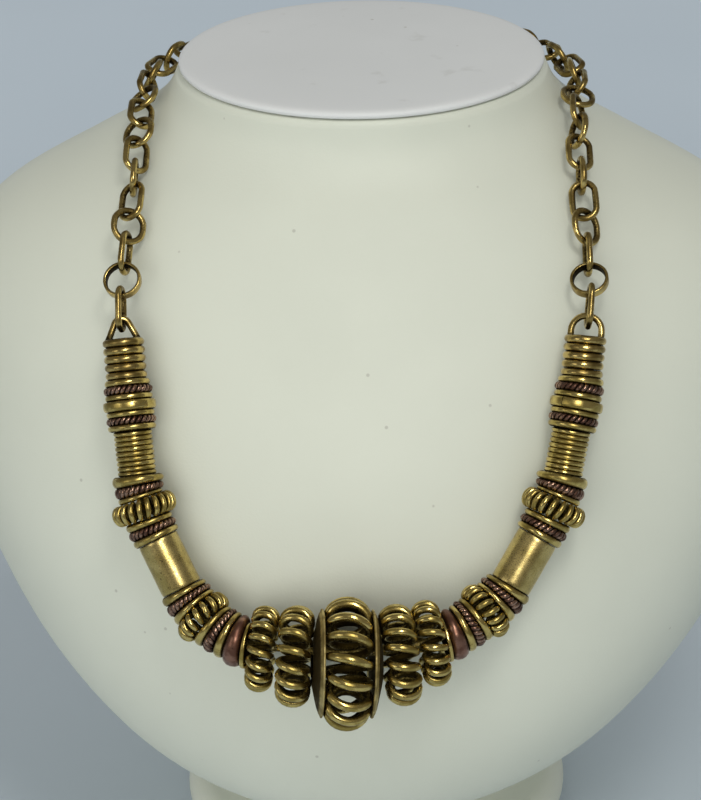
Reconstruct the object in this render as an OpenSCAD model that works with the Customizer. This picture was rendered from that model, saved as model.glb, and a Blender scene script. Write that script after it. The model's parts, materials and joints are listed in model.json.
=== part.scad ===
// Collar necklace of wire-wound brass and copper beads, worn by a plain white neck bust.
// Millimetres, +Z up, front towards -Y, origin under the middle of the foot.

/* [Bust] */
// Height of the bust with its neck pad
bust_h = 274; // [270:1:278]
// Thickness of the soft pad on the neck
pad_t = 2.6; // [2:0.2:3.4]
// Radius of the round foot
foot_r = 66; // [60:1:70]
// Thickness of the foot's rim
foot_t = 15; // [10:1:18]
// Radius of the stem under the chest
stem_r = 35; // [30:1:37]

/* [Wire coil beads] */
// Outer radius of the centre bead
centre_r = 18.9; // [17:0.1:19]
// Length of the centre bead along the string
centre_t = 13.6; // [12.6:0.1:13.6]
// Radius of the centre bead's wire
centre_wire_r = 1.2; // [0.9:0.02:1.2]
// Turns of wire in the centre bead
centre_turns = 16; // [12:1:18]
// Outer radius of the inner pair
inner_r = 14.5; // [13:0.1:14.6]
// Length of the inner pair
inner_t = 9.4; // [8.6:0.1:9.6]
// Turns of wire in each inner bead
inner_turns = 16; // [11:1:16]
// Radius of the inner beads' wire
inner_wire_r = 1.04; // [0.8:0.02:1.04]
// Outer radius of the outer pair
outer_r = 12.4; // [11:0.1:12.5]
// Length of the outer pair
outer_t = 7.6; // [7:0.1:7.8]
// Turns of wire in each outer bead
outer_turns = 17; // [10:1:17]
// Radius of the outer beads' wire
outer_wire_r = 0.94; // [0.7:0.02:0.94]

/* [Ribbed beads] */
// Outer radius of the upper ribbed beads
upper_rib_r = 9.5; // [8.6:0.1:9.5]
// Length of the upper ribbed beads
upper_rib_t = 6.0; // [5:0.1:6]
// Outer radius of the lower ribbed beads
lower_rib_r = 8.7; // [8:0.1:8.7]
// Length of the lower ribbed beads
lower_rib_t = 5.4; // [5:0.1:5.4]
// Ribs round each upper ribbed bead
upper_ribs = 21; // [14:1:21]
// Ribs round each lower ribbed bead
lower_ribs = 17; // [13:1:17]
// Radius of each rib's wire
rib_wire_r = 0.7; // [0.5:0.05:0.7]

/* [Tubes and rings] */
// Outer radius of the plain tubes
tube_r = 6.0; // [5.5:0.1:6.2]
// Length of the plain tubes
tube_t = 15.8; // [15:0.1:16]
// Outer radius of the lower coil tubes
lower_coil_r = 5.6; // [5:0.1:5.8]
// Length of the lower coil tubes
lower_coil_t = 13.0; // [12:0.1:13]
// Turns of wire in each lower coil tube
lower_coil_turns = 9; // [8:1:9]
// Outer radius of the upper coil tubes
upper_coil_r = 6.05; // [5.8:0.05:6.2]
// Length of the upper coil tubes
upper_coil_t = 12.0; // [11:0.1:12]
// Turns of wire in each upper coil tube
upper_coil_turns = 5; // [5:1:6]
// Outer radius of the thick band rings
band_r = 7.65; // [7.2:0.05:7.8]
// Length of the thick band rings
band_t = 2.9; // [2.5:0.1:2.9]
// Outer radius of the copper rings
copper_r = 7.6; // [7:0.1:7.7]
// Length of the copper rings
copper_t = 2.7; // [2.2:0.1:2.8]
// Outer radius of the cup washers
cup_r = 15.0; // [14:0.1:15.2]
// Thickness of the thin washers
washer_t = 0.7; // [0.5:0.1:0.8]

/* [Chain] */
// Radius of the link wire
link_wire_r = 0.95; // [0.8:0.05:0.95]
// Inner length of an oval link
oval_in_l = 10.0; // [9.9:0.05:10.1]
// Outer width of an oval link
oval_w = 8.8; // [8.4:0.1:9]
// Inner length of a round link
round_in_l = 8.3; // [8.3:0.05:8.5]
// Outer width of a round link
round_w = 10.8; // [10:0.1:10.8]
// Greatest distance between the centres of two links
link_step = 9.0; // [8.8:0.05:9]

/* [Hidden] */
$fn = 48;
GAP = 0.12;          // room between neighbours on the string
CORE_R = 1.1;        // radius of the wire that carries every bead
CENTRE = [2, -133.9, 143];   // where the core wire passes the centre bead
// How far the loose coil beads hang out from the core wire
CENTRE_HANG = [0, -2.3, -2.6];
INNER_HANG = [0, -1.3, -1.5];
OUTER_HANG = [0, -0.6, -0.6];
// Degrees turned back and of rise of each loose bead's axis, going right; left bead, right bead
CENTRE_LEAN = [7, -4];
INNER_LEAN = [[1, -4], [10, 3]];
OUTER_LEAN = [[0, -7], [12, 7]];
// How deep the winding of each coil bead is, across the string
CENTRE_DEPTH = 12.2;
INNER_DEPTH = 8.6;
OUTER_DEPTH = 7;
UPPER_RIB_DEPTH = 4.6;
LOWER_RIB_DEPTH = 4.4;
CUP_AT = 7.0;        // from the middle of the centre bead to each cup's rim
CUP_DEPTH = 1.6;    // from there to where the inner coil bead's room begins
CUP_WALL = 0.8;
RING_MIDDLE_R = 6.3; // radius at which the rings of a cluster touch
CLASP_HALF = 7;      // from the clasp's middle to the middle of each eye
EYE_R = 2.8;         // middle radius of the clasp's eyes
CLASP_LEAN = 15;     // turn of the clasp to the slope of the neck
LOOP_APEX = 5.7;     // from the end of the upper coil tube to the top of its wire loop
LOOP_SINK = 1.0;     // length of the loop's legs inside the coil
TURN_CLEAR = 0.2;    // room between wires that pass through each other

// Straight stretches of the string on each side, from the centre outwards:
// degrees turned back towards the bust, degrees of rise, room before and after the bend
LEFT_STRING = [
    [14, -5, 0.9],
    [19, -4, 0.8],
    [25, 8, 2.0],
    [29, 20, 0.35],
    [32, 33, 0.6],
    [35, 43, 0.65],
    [41, 53, 0.85],
    [50, 58, 0.5],
    [75, 61, 0.75],
    [77, 60, 0.2],
];
RIGHT_STRING = [
    [16, 5, 0.9],
    [21, 8, 0.35],
    [25, 13, 0.75],
    [31, 23, 0.75],
    [33, 28, 0.15],
    [35, 34, 0.45],
    [42, 49, 1.0],
    [48, 53, 0.45],
    [70, 59, 0.8],
    [79, 60, 0.4],
];
// Chain routes from the end loops round the back of the neck: x, y, z
LEFT_ROUTE = [
    [-65.5, -79.5, 224], [-65.5, -71, 232], [-65, -59, 242], [-65, -44, 251],
    [-65.5, -25, 260.5], [-66, -6, 264], [-64, 13, 264.5], [-54.5, 32, 264],
    [-39.5, 46.5, 263], [-26, 55, 262.5], [-13, 58, 262], [0, 58, 262],
];
RIGHT_ROUTE = [
    [69.5, -76, 226], [69, -65, 233], [68, -52.5, 244], [66.5, -37, 254.5],
    [66, -20, 262], [66, -4, 264.5], [64, 14, 264.5], [54.5, 32, 264],
    [39.5, 46.5, 263], [26, 55, 262.5], [13, 58, 262], [0, 58, 262],
];
// Pieces along one side of the string, from the centre outwards:
// name, stretch that it is on, length along the string
STRING = [
    ["inner_coil_bead", 0, inner_t],
    ["outer_coil_bead", 1, outer_t],
    ["thin_washer", 2, washer_t],
    ["copper_ring", 2, copper_t],
    ["f_inner", 3, 1.4],
    ["f_rope", 3, 1.6],
    ["f_outer", 3, 1.4],
    ["lower_ribbed_bead", 4, lower_rib_t],
    ["e_inner", 5, 1.4],
    ["e_rope", 5, 1.6],
    ["e_outer", 5, 1.4],
    ["plain_tube", 6, tube_t],
    ["d_inner", 6, 1.7],
    ["d_rope", 6, 1.9],
    ["d_outer", 6, 1.7],
    ["upper_ribbed_bead", 7, upper_rib_t],
    ["c_inner", 8, 1.1],
    ["c_rope", 8, 1.9],
    ["c_outer", 8, 2.0],
    ["lower_coil_tube", 8, lower_coil_t],
    ["b_inner", 8, 1.7],
    ["b_rope", 8, 1.9],
    ["b_outer", 8, 1.7],
    ["band_ring", 8, band_t],
    ["a_inner", 8, 1.7],
    ["a_rope", 8, 1.9],
    ["a_outer", 8, 1.7],
    ["upper_coil_tube", 9, upper_coil_t],
];
// Spacer rings: name, outer radius
SPACERS = [
    ["f_inner", 7.2], ["f_outer", 7.2], ["e_inner", 7.2], ["e_outer", 7.0],
    ["d_inner", 7.0], ["d_outer", 7.0], ["c_inner", 6.6], ["c_outer", 7.5],
    ["b_inner", 7.0], ["b_outer", 7.0], ["a_inner", 6.9], ["a_outer", 6.6],
];
ROPES = [
    ["f_rope", 7.2], ["e_rope", 7.2], ["d_rope", 7.1],
    ["c_rope", 7.1], ["b_rope", 7.1], ["a_rope", 7.0],
];
// Rings that stand fanned between two firm pieces, from the centre outwards:
// the firm pieces, then the rings
CLUSTERS = [
    ["outer_coil_bead", "lower_ribbed_bead", ["thin_washer", "copper_ring", "f_inner", "f_rope", "f_outer"]],
    ["lower_ribbed_bead", "plain_tube", ["e_inner", "e_rope", "e_outer"]],
    ["plain_tube", "upper_ribbed_bead", ["d_inner", "d_rope", "d_outer"]],
    ["upper_ribbed_bead", "lower_coil_tube", ["c_inner", "c_rope", "c_outer"]],
    ["lower_coil_tube", "band_ring", ["b_inner", "b_rope", "b_outer"]],
    ["band_ring", "upper_coil_tube", ["a_inner", "a_rope", "a_outer"]],
];
// Degrees that the first links of each side are turned about the chain, from the end loop upwards
LEFT_TURNS = [94, 4, 90, 36, -18, -68, 60, 4, 75, 18, -62];
RIGHT_TURNS = [86, -16, 88, 34, -18, 80, 0, 84, 22, -40, 72];

// Horizontal sections of the bust: height, half width, front depth, back depth
BUST = [
    [48, 38, 56, 38],
    [51, 60, 80, 46],
    [59, 80, 98, 53],
    [75, 98, 112, 58],
    [102, 116, 120, 62],
    [136, 130, 118, 64],
    [166, 136, 109, 64],
    [194, 135, 97, 63],
    [215, 128, 85, 61],
    [231, 113, 75, 58],
    [245, 88, 65, 55],
    [254, 71, 57.5, 53],
    [262, 61, 53.5, 52],
    [bust_h - pad_t - 0.2, 56, 52.5, 52],
];
// Sections of the neck pad: height above its underside, inset from the neck
PAD = [[0, 1.0], [0.25, 0.1], [0.6, 0], [0.75, 0.2], [0.92, 1.0], [1, 2.4]];
COIL_STEPS = 9;      // facets along each turn of a coil bead
RIB_STEPS = 7;       // the same for a ribbed bead
WIRE_SIDES = 5;      // facets round the wire of both
BUST_SIDES = 32;
BUST_STEPS = 2;      // lofted rings between two sections

SIDES = ["left", "right"];
PIECES = [
    "upper_coil_tube", "spacer_rings_a", "rope_ring_a", "band_ring", "spacer_rings_b", "rope_ring_b",
    "lower_coil_tube", "spacer_rings_c", "rope_ring_c", "upper_ribbed_bead", "spacer_rings_d",
    "rope_ring_d", "plain_tube", "spacer_rings_e", "rope_ring_e", "lower_ribbed_bead",
    "spacer_rings_f", "rope_ring_f", "copper_ring", "thin_washer", "outer_coil_bead",
    "inner_coil_bead", "cup_washer", "chain",
];

BUST_NODES = ["bust_body", "bust_foot", "bust_pad"];

BRASS = "#9a8044";
TUBE_BRASS = "#b0954f";
COPPER = "#7b4f45";
CUP_BRONZE = "#5d5034";
WHITE = "#e4e6dc";

// Small helpers
function unit(v) = v / norm(v);
function sum(v, i = 0) = i < len(v) ? v[i] + sum(v, i + 1) : 0;
function row_named(table, name) = [for (row = table) if (row[0] == name) row][0];

// Places on the string
function outwards(side) = side == "left" ? -1 : 1;
function stretches(side) = side == "left" ? LEFT_STRING : RIGHT_STRING;
function way(side, k) =
    let (turned = stretches(side)[k][0], rise = stretches(side)[k][1])
    [outwards(side) * cos(turned) * cos(rise), sin(turned) * cos(rise), sin(rise)];
function room(side, k) = k < len(stretches(side)) ? stretches(side)[k][2] : 0;
function run_of(k) =
    let (pieces = [for (row = STRING) if (row[1] == k) row[2]])
    sum(pieces) + GAP * (len(pieces) - 1);
function first_bend(side) = CENTRE + [outwards(side) * (CUP_AT + CUP_DEPTH + room(side, 0)), 0, 0];
function bends_from(side, at, k) = k == len(stretches(side)) ? [at] : concat(
    [at],
    bends_from(side, at + way(side, k) * (room(side, k) + run_of(k) + room(side, k + 1)), k + 1)
);
LEFT_BENDS = bends_from("left", first_bend("left"), 0);
RIGHT_BENDS = bends_from("right", first_bend("right"), 0);
function bends(side) = side == "left" ? LEFT_BENDS : RIGHT_BENDS;
function stretch_of(name) = row_named(STRING, name)[1];
function index_of(name) = [for (i = [0:len(STRING) - 1]) if (STRING[i][0] == name) i][0];
function run_before(name) = sum([
    for (i = [0:1:index_of(name) - 1])
        if (STRING[i][1] == stretch_of(name)) STRING[i][2] + GAP
]);
function heading(side, name) = way(side, stretch_of(name));
function spot(side, name) =
    let (k = stretch_of(name))
    bends(side)[k] + way(side, k) * (room(side, k) + run_before(name) + row_named(STRING, name)[2] / 2);

function length_of(name) = row_named(STRING, name)[2];
function lean(angles) = [cos(angles[0]) * cos(angles[1]), sin(angles[0]) * cos(angles[1]), sin(angles[1])];

// How a piece of the string stands: its middle and its direction outwards.
// The loose coil beads have leans of their own.
function bead_lean(side, leans) = outwards(side) * lean(leans[side == "left" ? 0 : 1]);
function standing(side, name) =
    name == "outer_coil_bead" ? [spot(side, name) + OUTER_HANG, bead_lean(side, OUTER_LEAN)]
    : [spot(side, name), heading(side, name)];

// A ring between two firm pieces, turned evenly from the one to the other:
// its middle, direction and thickness
function fanned(side, name) =
    let (
        row = [for (row = CLUSTERS, ring = row[2]) if (ring == name) row][0],
        rings = row[2],
        inner = standing(side, row[0]),
        last = heading(side, row[1]),
        start = inner[0] + inner[1] * length_of(row[0]) / 2,
        end = spot(side, row[1]) - last * length_of(row[1]) / 2,
        span = norm(end - start),
        first = unit(2 * inner[1] + heading(side, row[0])),
        gaps = len(rings) + 1,
        step = acos(min(1, first * last)) / gaps,
        solid = sum([for (ring = rings) length_of(ring)]),
        swell = min(1.25, max(1, (span - (RING_MIDDLE_R * tan(step) + 2 * GAP) * gaps) / solid)),
        gap = (span - solid * swell) / gaps,
        number = [for (i = [0:len(rings) - 1]) if (rings[i] == name) i][0],
        before = sum([for (i = [0:1:number - 1]) length_of(rings[i]) * swell + gap]),
        along = (before + gap + length_of(name) * swell / 2) / span,
        turned = (number + 1) / gaps
    )
    [start + (end - start) * along, unit(first * (1 - turned) + last * turned), length_of(name) * swell];

// Smooth route through hand-chosen points, and the place after a given length
function spline(a, b, c, d, t) = 0.5 * (2 * b + (c - a) * t + (2 * a - 5 * b + 4 * c - d) * t * t
    + (3 * b - a - 3 * c + d) * t * t * t);
function smooth(rows, steps) = let (n = len(rows)) concat(
    [for (i = [0:n - 2], k = [0:steps - 1]) spline(
        i > 0 ? rows[i - 1] : 2 * rows[0] - rows[1], rows[i], rows[i + 1],
        i < n - 2 ? rows[i + 2] : 2 * rows[n - 1] - rows[n - 2], k / steps)],
    [rows[n - 1]]
);
function lengths(path, i = 1, so_far = [0]) = i == len(path) ? so_far
    : lengths(path, i + 1, concat(so_far, [so_far[i - 1] + norm(path[i] - path[i - 1])]));
function after(path, marks, s) = [
    for (axis = [0:2]) lookup(s, [for (i = [0:len(path) - 1]) [marks[i], path[i][axis]]])
];

// Stands its children at a point, their Z axis along a direction
module aim(at, dir) {
    translate(at) rotate([0, acos(dir[2]), atan2(dir[1], dir[0])]) children();
}

// Stands its children on the string in the place of the named piece
module on_string(side, name) {
    aim(spot(side, name), heading(side, name)) children();
}

// Closed surface through equal rings of points, each ring in order round the same way
module skin(rings, closed) {
    n = len(rings);
    m = len(rings[0]);
    last = closed ? n - 1 : n - 2;
    walls = [
        for (i = [0:last], j = [0:m - 1], half = [0, 1])
            let (
                a = i * m + j,
                b = i * m + (j + 1) % m,
                c = ((i + 1) % n) * m + (j + 1) % m,
                d = ((i + 1) % n) * m + j
            )
            half == 0 ? [a, c, b] : [a, d, c]
    ];
    ends = closed ? [] : [[for (j = [0:m - 1]) j], [for (j = [0:m - 1]) n * m - 1 - j]];
    polyhedron([for (ring = rings) each ring], concat(walls, ends));
}

// Round wire ring
module ring(r_out, wire_r) {
    rotate_extrude() translate([r_out - wire_r, 0]) circle(wire_r);
}

// Wire wound in open turns round a ring, each turn an oval as long and as deep as given
module ring_coil(r_out, length, depth, turns, wire_r, steps, sides) {
    coil_l = length / 2 - wire_r;
    coil_r = depth / 2 - wire_r;
    ring_r = r_out - wire_r - coil_r;
    n = turns * steps;
    function wire(u) = let (p = u * turns)
        [(ring_r + coil_r * cos(p)) * cos(u), (ring_r + coil_r * cos(p)) * sin(u), coil_l * sin(p)];
    skin([
        for (i = [0:n - 1])
            let (
                u = 360 * i / n,
                along = unit(wire(u + 0.1) - wire(u - 0.1)),
                away = [cos(u * turns) * cos(u), cos(u * turns) * sin(u), sin(u * turns)],
                side = unit(cross(along, away)),
                out = cross(side, along)
            )
            [for (j = [0:sides - 1]) wire(u)
                + wire_r * (cos(360 * j / sides) * out + sin(360 * j / sides) * side)]
    ], true);
}

// Tube of close wire turns with a clear bore
module coil_sleeve(r_out, length, turns, wall) {
    pitch = length / turns;
    wire_r = pitch / 2 + 0.02;
    rotate_extrude() intersection() {
        union() {
            translate([r_out - wall, -length / 2]) square([wall - wire_r, length]);
            for (i = [0:turns - 1])
                translate([r_out - wire_r, -length / 2 + pitch * (i + 0.5)]) circle(wire_r);
        }
        translate([r_out - wall, -length / 2]) square([wall + 1, length]);
    }
}

// Wire loop standing on the end of the upper coil tube, its legs sunk in the coil
module end_loop(arc_r, lean) {
    joint = 0.2;
    leg = (LOOP_APEX + LOOP_SINK - arc_r + arc_r * sin(lean)) / cos(lean);
    translate([0, 0, upper_coil_t / 2 + LOOP_APEX - arc_r]) rotate([0, -90, 0]) rotate([0, 0, -90]) {
        rotate([0, 0, lean]) rotate_extrude(angle = 180 - 2 * lean)
            translate([arc_r, 0]) circle(link_wire_r);
        for (end = [1, -1])
            translate([end * arc_r * cos(lean), arc_r * sin(lean), 0]) rotate([90, 0, end * lean])
                translate([0, 0, -joint]) cylinder(h = leg + joint, r = link_wire_r - 0.03);
    }
}

// Dished washer that holds the side of the centre bead, its hollow towards -Z
module cup() {
    rim_z = 0.17;
    rotate_extrude() {
        polygon([
            [5.7, 2.1], [8.1, 1.6], [12.3, 0.6], [cup_r, rim_z - 0.4 * CUP_WALL],
            [cup_r, rim_z + 0.4 * CUP_WALL], [12.5, 0.6 + CUP_WALL],
            [8.3, 1.6 + CUP_WALL], [5.7, 2.1 + CUP_WALL],
        ]);
        translate([cup_r, rim_z]) circle(0.35);
    }
}

module link(in_l, w) {
    straight = in_l - (w - 4 * link_wire_r);
    mid_r = w / 2 - link_wire_r;
    rotate([90, 0, 0]) for (end = [0, 180]) rotate([0, 0, end]) {
        translate([0, straight / 2, 0]) rotate_extrude(angle = 180)
            translate([mid_r, 0]) circle(link_wire_r);
        translate([mid_r, straight / 2, 0]) rotate([90, 0, 0]) cylinder(h = straight, r = link_wire_r);
    }
}

// Flat band bent into a ring, the lowest link but one of the chain
module band_link() {
    rotate([90, 0, 0]) rotate_extrude() translate([4.8, -1.35]) square([0.9, 2.7]);
}

// Stands a link on the route, its flat side turned from the bust by some degrees
module on_route(at, dir, turned) {
    away = [at[0] * lookup(at[1], [[-50, 0.2], [20, 1]]), at[1] * 1.1, lookup(at[1], [[-50, 45], [40, 15]])];
    up = unit(away - (away * dir) * dir);
    across = cross(up, dir);
    multmatrix([
        [across[0], up[0], dir[0], at[0]],
        [across[1], up[1], dir[1], at[1]],
        [across[2], up[2], dir[2], at[2]],
    ]) rotate([0, 0, turned]) children();
}

module chain(side) {
    tube_end = spot(side, "upper_coil_tube") + heading(side, "upper_coil_tube") * upper_coil_t / 2;
    path = smooth(concat([tube_end], side == "left" ? LEFT_ROUTE : RIGHT_ROUTE), 6);
    marks = lengths(path);
    half_in = oval_in_l / 2 + link_wire_r;
    hooked = 2 * link_wire_r + TURN_CLEAR;
    first = LOOP_APEX - link_wire_r - hooked + half_in;
    last = marks[len(marks) - 1] - (CLASP_HALF + EYE_R - hooked + half_in);
    steps = 2 * ceil((last - first) / link_step / 2);
    color(BRASS) for (k = [0:steps]) {
        s = first + (last - first) * k / steps;
        dir = unit(after(path, marks, s + 2) - after(path, marks, s - 2));
        turns = side == "left" ? LEFT_TURNS : RIGHT_TURNS;
        oval = k % 2 == 0;
        turned = k < len(turns) ? turns[k] : oval ? 86 : 8 * sin(100 * k);
        on_route(after(path, marks, s), dir, turned) {
            if (k == 1) band_link();
            else link(oval ? oval_in_l : round_in_l, oval ? oval_w : round_w);
        }
    }
}

module clasp() {
    color(BRASS) translate(LEFT_ROUTE[len(LEFT_ROUTE) - 1]) rotate([CLASP_LEAN, 0, 0]) {
        rotate([0, 90, 0]) cylinder(h = 2 * (CLASP_HALF - EYE_R) + 1, r = 1.7, center = true);
        for (end = [-1, 1]) translate([end * CLASP_HALF, 0, 0]) rotate([90, 0, 0])
            ring(EYE_R + link_wire_r, link_wire_r);
    }
}

// The wire that carries every bead, bent where the string bends
module core_wire() {
    inset = 2;
    function tip(side) = let (rows = bends(side), n = len(rows))
        rows[n - 1] - heading(side, "upper_coil_tube") * inset;
    function run(side) = [for (i = [0:len(bends(side)) - 2]) bends(side)[i]];
    left = concat(run("left"), [tip("left")]);
    right = concat(run("right"), [tip("right")]);
    route = concat([for (i = [len(left) - 1:-1:0]) left[i]], right);
    n = len(route);
    color(BRASS) skin([
        for (i = [0:n - 1])
            let (
                along = unit(route[min(i + 1, n - 1)] - route[max(i - 1, 0)]),
                side = unit(cross(along, [0, -0.6, 0.8])),
                out = cross(side, along)
            )
            [for (j = [0:7]) route[i] + CORE_R * (cos(45 * j) * out + sin(45 * j) * side)]
    ], false);
}

// One horizontal section of the bust, shrunk by an inset
function section(row, inset = 0) = [
    for (j = [0:BUST_SIDES - 1])
        let (a = 360 * j / BUST_SIDES)
        [(row[1] - inset) * cos(a), ((sin(a) < 0 ? row[2] : row[3]) - inset) * sin(a), row[0]]
];

module bust_body() {
    color(WHITE) skin([for (row = smooth(BUST, BUST_STEPS)) section(row)], false);
}

module bust_pad() {
    neck = BUST[len(BUST) - 1];
    floor_z = bust_h - pad_t;
    color(WHITE) skin([
        for (row = PAD) section([floor_z + row[0] * pad_t, neck[1], neck[2], neck[3]], row[1])
    ], false);
}

module bust_foot() {
    rim_r = foot_t / 2;
    rim = [for (a = [-90:15:90]) [foot_r - rim_r + rim_r * cos(a), rim_r + rim_r * sin(a)]];
    stem = [[stem_r + 14, foot_t], [stem_r + 4, foot_t + 7], [stem_r, foot_t + 18], [stem_r, BUST[0][0] - GAP]];
    color(WHITE) rotate_extrude() polygon(concat([[0, 0]], rim, stem, [[0, BUST[0][0] - GAP]]));
}

module fanned_ring(side, name, r_out) {
    place = fanned(side, name);
    aim(place[0], place[1]) ring(r_out, place[2] / 2);
}

module spacer_rings(side, cluster) {
    color(BRASS) for (row = SPACERS)
        if (row[0][0] == cluster) fanned_ring(side, row[0], row[1]);
}

module rope_ring(side, cluster) {
    color(COPPER) for (row = ROPES)
        if (row[0][0] == cluster) fanned_ring(side, row[0], row[1]);
}

module plain_tube() {
    color(TUBE_BRASS) difference() {
        cylinder(h = tube_t, r = tube_r, center = true);
        cylinder(h = tube_t + 2, r = tube_r - 0.8, center = true);
    }
}

module band_ring() {
    round_r = 0.7;
    color(BRASS) rotate_extrude() {
        translate([band_r - 2.2, -band_t / 2]) square([2.2 - round_r, band_t]);
        translate([band_r - round_r - 0.2, -band_t / 2 + round_r]) square([round_r + 0.2, band_t - 2 * round_r]);
        for (end = [-1, 1]) translate([band_r - round_r, end * (band_t / 2 - round_r)]) circle(round_r);
    }
}

module upper_coil_tube(side) {
    color(BRASS) union() {
        coil_sleeve(upper_coil_r, upper_coil_t, upper_coil_turns, upper_coil_r - CORE_R - GAP);
        if (side == "left") end_loop(2.2, 25);
        else end_loop(4.4, 0);
    }
}

module thin_washer(side) {
    place = fanned(side, "thin_washer");
    color(BRASS) aim(place[0], place[1]) difference() {
        cylinder(h = washer_t, r = 6.6, center = true);
        cylinder(h = 2, r = 4.2, center = true);
    }
}

bust_body();
bust_foot();
bust_pad();
core_wire();
clasp();
color(BRASS) aim(CENTRE + CENTRE_HANG, lean(CENTRE_LEAN))  // centre_coil_bead
        ring_coil(centre_r, centre_t, CENTRE_DEPTH, centre_turns, centre_wire_r, COIL_STEPS, WIRE_SIDES);
for (side = SIDES) {
    out = outwards(side) * lean(CENTRE_LEAN);
    half = side == "left" ? 0 : 1;
    color(CUP_BRONZE) aim(CENTRE + CENTRE_HANG + out * CUP_AT, out) cup();
    color(BRASS) aim(spot(side, "inner_coil_bead") + INNER_HANG, lean(INNER_LEAN[half]))
            ring_coil(inner_r, inner_t, INNER_DEPTH, inner_turns, inner_wire_r, COIL_STEPS, WIRE_SIDES);
    color(BRASS) aim(spot(side, "outer_coil_bead") + OUTER_HANG, lean(OUTER_LEAN[half]))
            ring_coil(outer_r, outer_t, OUTER_DEPTH, outer_turns, outer_wire_r, COIL_STEPS, WIRE_SIDES);
    thin_washer(side);
    color(COPPER) fanned_ring(side, "copper_ring", copper_r);
    color(BRASS) on_string(side, "lower_ribbed_bead")
            ring_coil(lower_rib_r, lower_rib_t, LOWER_RIB_DEPTH, lower_ribs, rib_wire_r, RIB_STEPS, WIRE_SIDES);
    on_string(side, "plain_tube") plain_tube();
    color(BRASS) on_string(side, "upper_ribbed_bead")
            ring_coil(upper_rib_r, upper_rib_t, UPPER_RIB_DEPTH, upper_ribs, rib_wire_r, RIB_STEPS, WIRE_SIDES);
    color(BRASS) on_string(side, "lower_coil_tube")
            coil_sleeve(lower_coil_r, lower_coil_t, lower_coil_turns, 1.8);
    on_string(side, "band_ring") band_ring();
    on_string(side, "upper_coil_tube") upper_coil_tube(side);
    chain(side);
    for (cluster = ["a", "b", "c", "d", "e", "f"]) {
        spacer_rings(side, cluster);
        rope_ring(side, cluster);
    }
}
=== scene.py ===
"""Dresses the collar necklace of wire-wound brass beads and the white neck bust that wears it."""

import json
import logging
import math
from dataclasses import dataclass
from enum import Enum
from typing import Callable, Optional, Sequence

import bmesh
import bpy
from mathutils import Matrix, Vector, noise

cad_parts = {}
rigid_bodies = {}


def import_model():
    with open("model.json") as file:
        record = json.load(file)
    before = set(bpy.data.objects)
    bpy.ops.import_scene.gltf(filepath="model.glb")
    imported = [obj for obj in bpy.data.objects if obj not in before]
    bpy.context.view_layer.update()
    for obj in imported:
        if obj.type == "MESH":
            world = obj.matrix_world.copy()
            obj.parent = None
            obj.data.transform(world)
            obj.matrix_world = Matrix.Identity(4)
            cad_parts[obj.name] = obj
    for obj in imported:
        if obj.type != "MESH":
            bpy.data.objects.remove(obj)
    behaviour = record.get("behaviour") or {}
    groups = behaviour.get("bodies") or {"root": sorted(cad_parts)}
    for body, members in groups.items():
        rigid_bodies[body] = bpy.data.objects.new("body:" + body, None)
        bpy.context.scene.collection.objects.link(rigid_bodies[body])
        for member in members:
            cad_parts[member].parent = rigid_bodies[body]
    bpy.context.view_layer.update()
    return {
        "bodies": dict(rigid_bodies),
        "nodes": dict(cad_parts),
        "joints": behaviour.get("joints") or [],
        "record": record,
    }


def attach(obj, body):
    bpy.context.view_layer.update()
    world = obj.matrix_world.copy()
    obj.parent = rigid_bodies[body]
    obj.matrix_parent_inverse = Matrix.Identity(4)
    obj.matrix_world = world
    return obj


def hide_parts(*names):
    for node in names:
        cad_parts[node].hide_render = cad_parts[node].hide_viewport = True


LOG = logging.getLogger("necklace")
# Metres in a millimetre. Sizes of pieces are in millimetres
METRES = 0.001
# Clear length between two pieces on the string, and radius of the wire of links, loops and eyes
STRING_GAP = 0.12
LINK_WIRE_R = 0.95
# Middle of the string, and how far the loose coil beads hang from their places on it
CENTRE = Vector((2.0, -133.9, 143.0))
CENTRE_HANG = Vector((0.0, -2.3, -2.6))
INNER_HANG = Vector((0.0, -1.3, -1.5))
OUTER_HANG = Vector((0.0, -0.6, -0.6))
# Where each cup begins beside the middle, and its depth along the string
CUP_AT = 7.0
CUP_DEPTH = 1.6
# How much thicker than the solids the pushed-together rings of a cluster may be
MOST_SWELL = 1.65
# Middle of the clasp, where the two halves of the chain end
CLASP_AT = Vector((0.0, 58.0, 262.0))
# How dark the wire inside the beads is painted, as the shade inside them, from 0 to 1
CORE_SHADE = 0.6
# Points closer than this many millimetres are merged
WELD = 0.0005
ORIGIN = (0, 0, 0)
# Name of the number that each point keeps: how deep it lies in a recess, from 0 to 1, where the
# materials paint shade and dirt, or a dark seam
RECESS = "recess"
# Shifts of the patterns of unevenness, for the centre bead, each side and each cluster
CENTRE_SEED = 0.4
SIDE_SEED = 3.0
CLUSTER_SEED = 0.7
Colour = tuple[float, float, float]
Triple = tuple[float, float, float]
Profile = Sequence[tuple[float, float]]


class Side(Enum):
    """The two halves of the necklace, named as the photo shows them."""

    LEFT = -1
    RIGHT = 1

    @property
    def word(self) -> str:
        """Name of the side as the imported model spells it."""
        return self.name.lower()


@dataclass(frozen=True)
class Stretch:
    """One straight stretch of the string, numbered from the centre outwards.

    It is turned back and rises by some degrees, and keeps some millimetres free at its bend.
    """

    turned: float
    rise: float
    room: float


@dataclass(frozen=True)
class Threaded:
    """A piece threaded on the string: the stretch that it is on and its length along it."""

    name: str
    stretch: int
    length: float


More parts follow.
